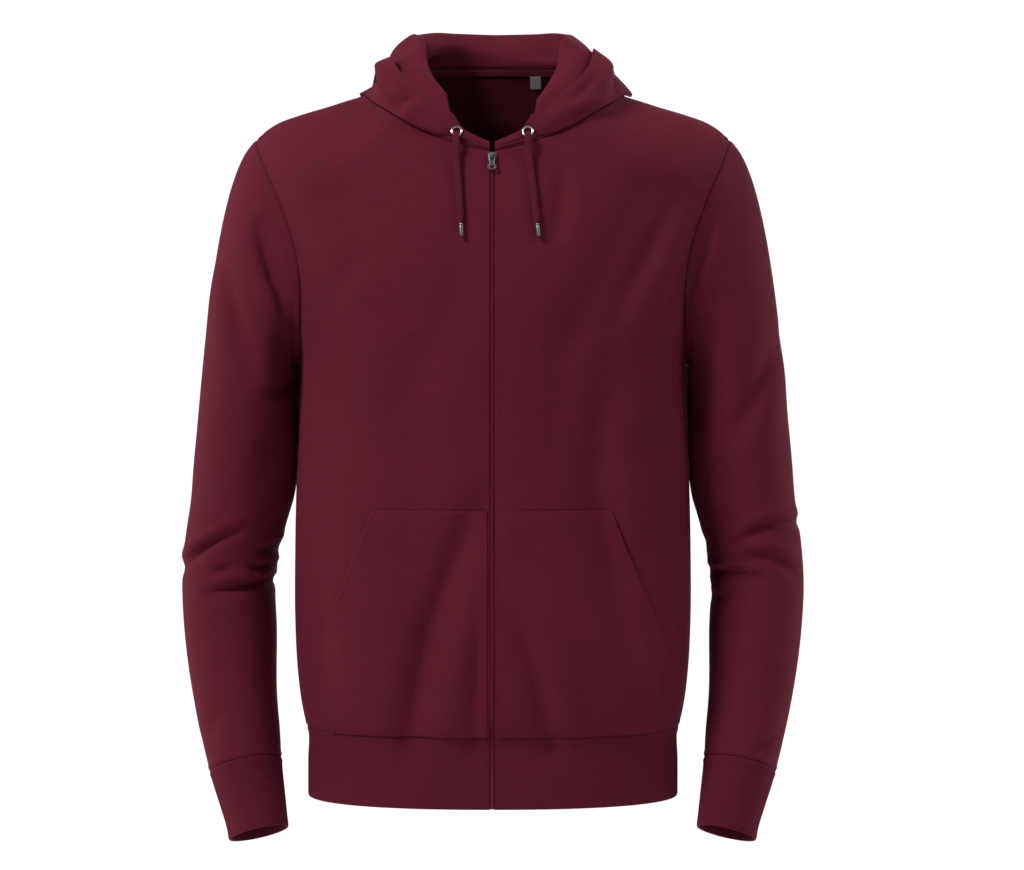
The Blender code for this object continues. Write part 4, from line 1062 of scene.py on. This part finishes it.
def neck_edge():
    """Half of the neck seam from the middle of the front, and its angles round the neck."""
    front_part = FRONT_PARTS[FRONT_PARTS <= neck_part(False) + 1e-9]
    back_part = BACK_PARTS[BACK_PARTS <= neck_part(True) + 1e-9][::-1]
    front = body(front_part + 1e-12, 0 * front_part, False)
    back = body(back_part, 0 * back_part, True)
    middle = (front[-1] + back[0]) / 2
    edge = np.vstack([front[:-1], middle[None], back[1:]])
    edge[-1, 0] = HALF_GAP
    return edge, np.degrees(np.arctan2(edge[:, 0], -edge[:, 1]))


NECK_EDGE, NECK_ANGLE = neck_edge()


def spline(knots, v):
    """Smooth curves through knots (the first axis), each read at v, which counts the knots."""
    chords = np.diff(knots, axis=0)
    steps = np.linalg.norm(chords, axis=-1, keepdims=True) ** 0.6
    speed = chords / steps
    inner = (speed[:-1] * steps[1:] + speed[1:] * steps[:-1]) / (steps[:-1] + steps[1:])
    slopes = np.concatenate([speed[:1], inner, speed[-1:]])
    points = np.array(knots[0])
    for i, step in enumerate(steps):
        t = np.clip(v - i, 0, 1)[..., None]
        here = cubic(t, knots[i], knots[i + 1], step, slopes[i], slopes[i + 1])
        points = np.where((v >= i)[..., None], here, points)
    return points


def hood(v, side, edge=NECK_EDGE, angle=NECK_ANGLE):
    """The hood's half. At each point of the neck seam a smooth section stands up, rolls outward, falls,
    folds up again and swells out to the face edge. v counts the knots of the section."""
    seam, angle = np.broadcast_to(edge, (*v.shape, 3)), np.broadcast_to(angle, v.shape)
    out = np.stack([np.sin(np.radians(angle)), -np.cos(np.radians(angle)), 0 * angle], -1)
    at = {name: curve(HOOD, angle, name) for name in HOOD}
    fold = {name: curve(HOOD_FOLD, angle, name) for name in HOOD_FOLD}
    at["fold_r"] = np.hypot(seam[..., 0], seam[..., 1]) + fold["out"]
    at["fold_z"] = seam[..., 2] + fold["up"]
    if side < 0:
        for name in list(HOOD_RIGHT)[1:]:
            at[name] = at[name] + curve(HOOD_RIGHT, angle, name)
    leave = unit(np.array((0, 0, 1)) - at["lean"][..., None] * out)
    length = np.clip(angle / FOOT_ANGLE, 0.12, 1)[..., None]
    start = 2 * HALF_GAP + CORNER_LIFT * np.exp(-(((angle - CORNER_ANGLE) / CORNER_REACH) ** 2))
    knots = [seam + start[..., None] * leave, seam + FOOT * length * leave]
    for part in HOOD_PARTS:
        knot = at[part + "_r"][..., None] * out
        if part in ("fold", "waist", "swell"):
            knot[..., 0] *= fold["spread"]
        knot[..., 2] = at[part + "_z"]
        knots.append(knot)
    points = spline(np.stack(knots), v)
    points[..., 0] = np.maximum(points[..., 0], HALF_GAP)
    return points * (side, 1, 1)


def hood_half(side):
    """Half of the hood, with its seam at the middle of the back and its stitched face edge."""
    rows = [part + np.arange(steps) / steps for part, steps in enumerate(HOOD_STEPS)]
    v = np.append(np.concatenate(rows), len(HOOD_STEPS))
    _, v = np.meshgrid(NECK_ANGLE, v)
    points = hood(v, side)
    normal = grid_normal(points)
    middle = unit(points[0] - np.array((0, 0, points[0, :, 2].mean())))
    normal = normal * np.sign((normal[0] * middle).sum(-1).mean())
    inside = np.clip((v - HOOD_CREASE_FROM) * 2, 0, 1) * np.clip((HOOD_CREASE_TO - v) * 2, 0, 1)
    for crease_side, *line in rows_of(HOOD_CREASES):
        if crease_side == side:
            depth = crease_depth(side * points[..., 0], points[..., 2], [line], inside)
            points = points - normal * depth[..., None]
    points[..., 0] = side * np.maximum(side * points[..., 0], HALF_GAP)
    points[:, -1, 0] = 0
    grid, normal = hood_shell(side, points, middle)
    for edge, distance in (("bottom", FACE_HEM), ("top", BY_SEAM), ("last", BY_JOIN)):
        sew("hood", inset(grid, normal, edge, distance))


def hood_shell(side, points, middle):
    """The hood's wall: its outside is the side that faces away from the neck at the seam."""
    normal = grid_normal(points)
    away = points[0].mean(0) - middle.mean(0) * 40
    if ((points[0] - away) * normal[0]).sum(-1).mean() * ((points - away) * normal).sum(-1).mean() < 0:
        away = points.mean(0) * 2 - away
    return half_of("hood", side, points, OF_FLEECE, away, seams=("top", "last"), joined="last")


# ---- pockets -----------------------------------------------------------------------------------------

POCKET = table("height outer", (-410, 114.5), (-534, 163), (-560, 162), (-626, 154))
POCKET_TOP, POCKET_WIDTH = -410.0, 150
POCKET_INNER = 4.4  # from the middle to its edge beside the zip
POCKET_SWELL = 1.3
POCKET_EASE = 6.5  # the distance over which its sewn edges sink to the front
OPENING_FOOT = -536  # the height where its slanted opening ends
BY_POCKET_EDGE, BY_OPENING, OPENING_HEM = 2.6, 3.0, 19.0  # from its edges to their stitches


def pocket(side):
    """A pocket: the front's own points, moved out by the clear space and a swell, which goes by
    sin(pi down) * sin(pi across / 2)^2 * (1 - 0.35 across). Its sewn edges sink to the front."""
    z = POCKET_TOP + (HEM_SEAM - POCKET_TOP) * lines(POCKET_TOP - HEM_SEAM, FINE_GRID)
    part = lines(POCKET_WIDTH, FINE_GRID)
    outer = np.interp(-z, -POCKET["height"], POCKET["outer"])
    x = POCKET_INNER + (outer - POCKET_INNER)[:, None] * part
    z = np.repeat(z[:, None], len(part), 1)
    down = (z - z[0, 0]) / (z[-1, 0] - z[0, 0])
    points = np.stack([side * x, body_y(side * x, z, False), z], -1)
    normal = facing(points, -1)
    swell = POCKET_SWELL * np.sin(np.pi * down) * np.sin(np.pi * 0.5 * part) ** 2 * (1 - 0.35 * part)
    away = edge_distances(points)
    sewn = np.exp(-((np.minimum.reduce([away["top"], away["first"], away["bottom"]]) / POCKET_EASE) ** 2))
    lift = LAID_ON * (1 - 0.9 * sewn) + swell + CLOTH * (1 - 0.35 * sewn)
    points = points + normal * lift[..., None]
    seams = ("top", "last")
    grid, normal = half_of("pocket", side, points, OF_FLEECE, MIDDLE, seams=seams, welt=0.5)
    for edge in ("top", "first"):
        sew("pockets", inset(grid, normal, edge, BY_POCKET_EDGE))
    slanted = grid[:, 0, 2] > OPENING_FOOT
    for distance, rows in ((BY_OPENING, slanted), (OPENING_HEM, slanted), (BY_OPENING, ~slanted)):
        sew("pockets", [part[rows] for part in inset(grid, normal, "last", distance)])


# ---- neck tape and label -----------------------------------------------------------------------------

NECK_TAPE_V = (0.045, 0.1)
NECK_TAPE_PART = 0.65
LABEL_X = (39.5, 51.0)
LABEL_Z = (33.5, 22.0)
LABEL_CLEAR = 1.2


def neck_trim():
    """The tape under the neck seam inside the back, and the bare label that hangs over it."""
    end = NECK_TAPE_PART * neck_part(True)
    part, v = np.meshgrid(end * np.linspace(-1, 1, 121), np.linspace(*NECK_TAPE_V, 7))
    points = body(part, v, True)
    points = points - facing(points, 1) * (CLOTH + LAID_ON)
    shell("neck_tape_strip", points, OF_TAPE, MIDDLE, ["neck_tape"])
    x, z = np.meshgrid(np.linspace(*LABEL_X, 15), np.linspace(*LABEL_Z, 15))
    points = np.stack([x, body_y(x, z, True), z], -1)
    points = points - facing(points, 1) * (CLOTH + LAID_ON + TRIM + LABEL_CLEAR)
    shell("bare_label", points, OF_LABEL, MIDDLE, ["size_label"])


# ---- zip ---------------------------------------------------------------------------------------------

ZIP_TOP, ZIP_LENGTH, ZIP_GRID = -68.5, 626, 5.0
TAPE_FROM, TAPE_TO = 0.12, 11.0  # from the middle
TAPE_DEPTH = 3.2  # behind the fronts' face
FIRST_TOOTH = 1.2  # under the tape's end
TOOTH_PITCH = 1.5
TOOTH_MIDDLE, TOOTH_DEPTH = 0.78, 0.8
TOOTH_HALF = (1.02, 0.42, 0.9)


def front_edge(z):
    """The face of the fronts at the middle, at height z."""
    return body_y(np.full(np.shape(z), ZIP_HALF), np.asarray(z, float), False)


def zip_half(side):
    """One tape of the zip behind its front's edge, with the coil's loops, which mesh with the other's."""
    z = ZIP_TOP + (HEM_EDGE - ZIP_TOP) * lines(ZIP_LENGTH, ZIP_GRID)
    x, z = np.meshgrid(np.linspace(TAPE_FROM, TAPE_TO, 9), z)
    points = np.stack([side * x, front_edge(z) + TAPE_DEPTH, z], -1)
    shell(sided("zip_tape", side), points, (TRIM, ZIP_CLOTH, "zip_tape"), MIDDLE, [cad("zip", side)])
    z = np.arange(ZIP_TOP - FIRST_TOOTH - (side > 0) * TOOTH_PITCH / 2, HEM_EDGE + 1, -TOOTH_PITCH)
    middle = np.stack([np.full(z.shape, side * TOOTH_MIDDLE), front_edge(z) + TOOTH_DEPTH, z], -1)
    along = np.tile((1.0, 0.0, 0.0), (len(z), 1))
    normal = np.tile((0.0, -1.0, 0.0), (len(z), 1))
    beads(sided("zip_coil", side), [(middle, along, normal)], TOOTH_HALF, TEETH)


# ---- eyelets and drawcord ----------------------------------------------------------------------------

EYELET_X, EYELET_Z = 34.4, -47.2
EYELET_TIP = np.array((-0.3, 0, 0.2))
EYELET_RADIUS, EYELET_LIFT = 4.7, 2.7  # from the ring's middle to its section's, and out of the cloth
EYELET_SIDES = 48
CORD_HALF_WIDTH, CORD_HALF_THICK, CORD_MEAN_RADIUS = 3.2, 2.2, 2.7
# The cord's line: its share of the way across to its end, and how far it lies over the cloth.
CORD_PATH = table(
    "height part over",
    (-48.2, 0, 5.9),
    (-50.2, 0, 8),
    (-53.2, 0, 8.9),
    (-58.8, 0.04, 8.5),
    (-66, 0.1, 6.7),
    (-76, 0.2, 4.6),
    (-92, 0.4, 3.6),
    (-108, 0.62, 3.6),
    (-124, 0.84, 3.6),
    (-136.5, 1, 3.6),
)
CORD_EASE = 1.3  # the points along a cord lie closer at its start
CORD_STEPS = np.linspace(0, 1, len(CORD_PATH["height"])) ** CORD_EASE
CORD_END_X = {1: 43.0, -1: 29.5}
CORD_SIDES = 24
TAPER, THIN, TAPER_REACH = 0.42, 0.15, 5.0  # how much width and thickness shrink toward the tip
START_ROUND = 2.0
TIP_RADIUS = 2.15
# The metal tip: its radius, as a share of TIP_RADIUS, along its length.
TIP = table(
    "at size",
    (0, 0.75),
    (0.25, 0.9),
    (0.6, 0.98),
    (1.2, 1),
    (2.2, 1),
    (2.6, 0.93),
    (3.2, 0.93),
    (3.6, 1),
    (5, 1),
    (8, 1),
    (10.5, 1),
    (11.6, 0.99),
    (12.3, 0.95),
    (12.7, 0.85),
    (12.95, 0.6),
    (13, 0.2),
)


def collar_at(x, z):
    """The place on the outside of the hood's left half at x and z, near the front, and its normal there."""
    angle = np.linspace(8, 32, 161)
    edge = np.stack([np.interp(angle, NECK_ANGLE, NECK_EDGE[:, axis]) for axis in range(3)], -1)
    _, v = np.meshgrid(angle, np.linspace(0, len(HOOD_PARTS) + 1, 400))
    points = hood(v, 1, edge, angle)
    normal = grid_normal(points)
    away = np.hypot(points[..., 0] - x, points[..., 2] - z)
    best = np.unravel_index(np.argmin(away), away.shape)
    return points[best], normal[best] * np.sign(-normal[best][1])


COLLAR, COLLAR_NORMAL = collar_at(EYELET_X, EYELET_Z)


def lathe(name, section, turns, place, axis, finish, replaced):
    """A closed ring: the section's (radius, height) points turned about an axis."""
    axis = unit(axis)
    first = unit(np.cross(axis, (0.0, 0.0, 1.0)))
    second = np.cross(axis, first)
    angle = round_turns(turns)
    round_it = np.cos(angle)[:, None] * first + np.sin(angle)[:, None] * second
    points = place + section[:, 0, None, None] * round_it + section[:, 1, None, None] * axis
    index = closed(numbered(len(section), turns))
    faces = quads(np.vstack([index, index[:1]]))
    add_piece(name, points.reshape(-1, 3), [faces], finish, replaced)


def eyelet(side):
    """A pressed ring: an oval section of 2 by 1, turned about the way that the collar faces."""
    way = unit(COLLAR_NORMAL + EYELET_TIP) * (side, 1, 1)
    turn = round_turns(20)
    section = np.stack([EYELET_RADIUS + np.cos(turn), EYELET_LIFT + 0.5 * np.sin(turn)], -1)
    place = COLLAR * (side, 1, 1)
    replaced = [cad("eyelet", side)]
    lathe(sided("eyelet_ring", side), section, EYELET_SIDES, place, way, BRIGHT_NICKEL, replaced)


def cord_path(side, count):
    """The middle line of a cord, from the eyelet to its end over the chest."""
    at = np.linspace(0, 1, count) ** CORD_EASE
    line = {name: smooth(at, CORD_STEPS, CORD_PATH[name]) for name in CORD_PATH}
    height = line["height"]
    x = EYELET_X + (CORD_END_X[side] - EYELET_X) * line["part"]
    chest = body_y(side * x, np.minimum(height, ZIP_TOP), False)
    onto_chest = np.clip((EYELET_Z - height) / (EYELET_Z - ZIP_TOP), 0, 1)
    under = COLLAR[1] + (chest - COLLAR[1]) * onto_chest
    return np.stack([side * x, under - line["over"], height], -1)


def tube(name, path, wide, thick, finish, replaced):
    """A closed tube of oval section along a path, flat across left and right. wide and thick are its half
    sizes at each point, and its ends draw together to small caps."""
    ways = unit(np.gradient(path, axis=0))
    over = unit(np.cross(ways, (1.0, 0, 0)))
    flat = np.cross(over, ways)
    turns = round_turns(CORD_SIDES)
    points = path[:, None] + (wide[:, None] * np.cos(turns))[..., None] * flat[:, None]
    points = points + (thick[:, None] * np.sin(turns))[..., None] * over[:, None]
    index, uv_index = numbered(len(path), CORD_SIDES), numbered(len(path), CORD_SIDES + 1)
    round_it = np.arange(CORD_SIDES + 1) * 2 * np.pi * CORD_MEAN_RADIUS / CORD_SIDES
    uv = np.stack(np.meshgrid(round_it, lengths(path, 0)), -1).reshape(-1, 2)
    faces = [quads(closed(index)), index[:1, ::-1], index[-1:]]
    uv_faces = [quads(uv_index), uv_index[:1, :-1][:, ::-1], uv_index[-1:, :-1]]
    volume = (np.cross(points[0, 0] - points[0, 1], points[0, 1] - points[0, 2]) * ways[0]).sum()
    if volume > 0:
        faces = [part[:, ::-1] for part in faces]
        uv_faces = [part[:, ::-1] for part in uv_faces]
    return add_piece(name, points.reshape(-1, 3), faces, finish, replaced, uv, uv_faces)


def drawcord(side):
    """A flat cord. Toward its end it narrows by TAPER * exp(-(left / TAPER_REACH)^2), and its start is
    round over START_ROUND. Its metal tip is the TIP profile turned about the cord's last direction."""
    path = cord_path(side, 90)
    gone = lengths(path, 0)
    near_end = np.exp(-(((gone[-1] - gone) / TAPER_REACH) ** 2))
    start = np.sqrt(1 - (1 - np.clip(gone / START_ROUND, 0.02, 1)) ** 2)
    wide = CORD_HALF_WIDTH * (1 - TAPER * near_end) * start
    thick = CORD_HALF_THICK * (1 - THIN * near_end) * start
    replaced = [cad("drawcord", side)]
    made = tube(sided("cord", side), path, wide, thick, CORD, replaced)
    line = path[-1] + np.outer(2 * HALF_GAP + TIP["at"], unit(path[-1] - path[-2]))
    size = TIP["size"] * TIP_RADIUS
    replaced = [cad("cord_tip", side)]
    tip = tube(sided("cord_end", side), line, size, size, NICKEL, replaced)
    measured = cord_path(side, 40) * MM


# ---- the garment -------------------------------------------------------------------------------------

for side in (1, -1):
    drawcord(side)
for side in (1, -1):
    front_panel(side)
    sleeve_and_cuff(side)
    hood_half(side)
    pocket(side)
    zip_half(side)
    eyelet(side)
back_panel()
hem_band()
neck_trim()
for group, places in sewing.items():
    beads("stitching_" + group, places, STITCH_HALF, THREAD)


SOFTEN_WIDTH = 0.3
SOFTEN_OVER = math.radians(35)


def softened(name, node_name, body_name):
    """A finer piece with a solid's form: a copy of its mesh, with doubles merged and edges rounded."""
    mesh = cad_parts[node_name].data.copy()
    mesh.materials.clear()
    mesh.materials.append(NICKEL)
    made = put(name, mesh)
    weld = made.modifiers.new("weld", "WELD")
    weld.merge_threshold = 1e-6
    soften = made.modifiers.new("soften", "BEVEL")
    soften.width = SOFTEN_WIDTH * MM
    soften.segments = 3
    soften.limit_method = "ANGLE"
    soften.angle_limit = SOFTEN_OVER
    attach(made, body_name)
    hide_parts(node_name)


softened("slider_body", "zip_slider", GARMENT)
softened("pull_plate", "zip_pull", "pull_tab")

# ---- floor and light ---------------------------------------------------------------------------------

FLOOR_HALF, FLOOR_Z = 1.5, -1.05
FLOOR_CORNERS = [(x * FLOOR_HALF, y * FLOOR_HALF, FLOOR_Z) for x, y in ((-1, -1), (1, -1), (1, 1), (-1, 1))]

pale, _, shader = blank("pale_floor", 0.9)
shader.inputs["Base Color"].default_value = (0.86, 0.86, 0.86, 1)
mesh = bpy.data.meshes.new("floor")
mesh.from_pydata(FLOOR_CORNERS, [], [(0, 1, 2, 3)])
mesh.materials.append(pale)
put("floor", mesh)


def area_light(name, place, target, size, power):
    """A soft rectangle of light at a place, turned to its target."""
    light = bpy.data.lights.new(name, "AREA")
    light.shape = "RECTANGLE"
    light.size, light.size_y = size
    light.energy = power
    made = put(name, light)
    made.location = place
    made.rotation_euler = (Vector(target) - Vector(place)).to_track_quat("-Z", "Y").to_euler()


area_light("key", (-2.1, -1.75, 2.1), (0, 0, -0.25), (1.0, 1.0), 106)
area_light("right_top", (2.2, -1.0, 1.9), (0, 0, -0.3), (1.2, 1.2), 30)
area_light("fill", (1.6, -2.6, -0.3), (0, 0, -0.4), (1.6, 1.6), 2.5)
area_light("left_edge", (-2.2, 0.9, 0.2), (0, 0, -0.35), (0.8, 1.8), 24)
area_light("right_edge", (2.2, 0.9, 0.2), (0, 0, -0.35), (0.8, 1.8), 22)
area_light("behind", (0.5, 2.6, 0.3), (0, 0, -0.4), (1.8, 1.8), 36)

AMBIENT, SEEN_MORE = 0.15, 0.9  # the strength of the white around, and how much more the camera sees

world = bpy.data.worlds.new("soft_white")
world.use_nodes = True
scene.world = world
tree = world.node_tree
tree.nodes["Background"].inputs["Color"].default_value = (1, 1, 1, 1)
seen = add(tree, "LightPath").outputs["Is Camera Ray"]
strength = maths(tree, "MULTIPLY_ADD", seen, SEEN_MORE, AMBIENT)
tree.links.new(strength, tree.nodes["Background"].inputs["Strength"])
scene.view_settings.view_transform = "Standard"
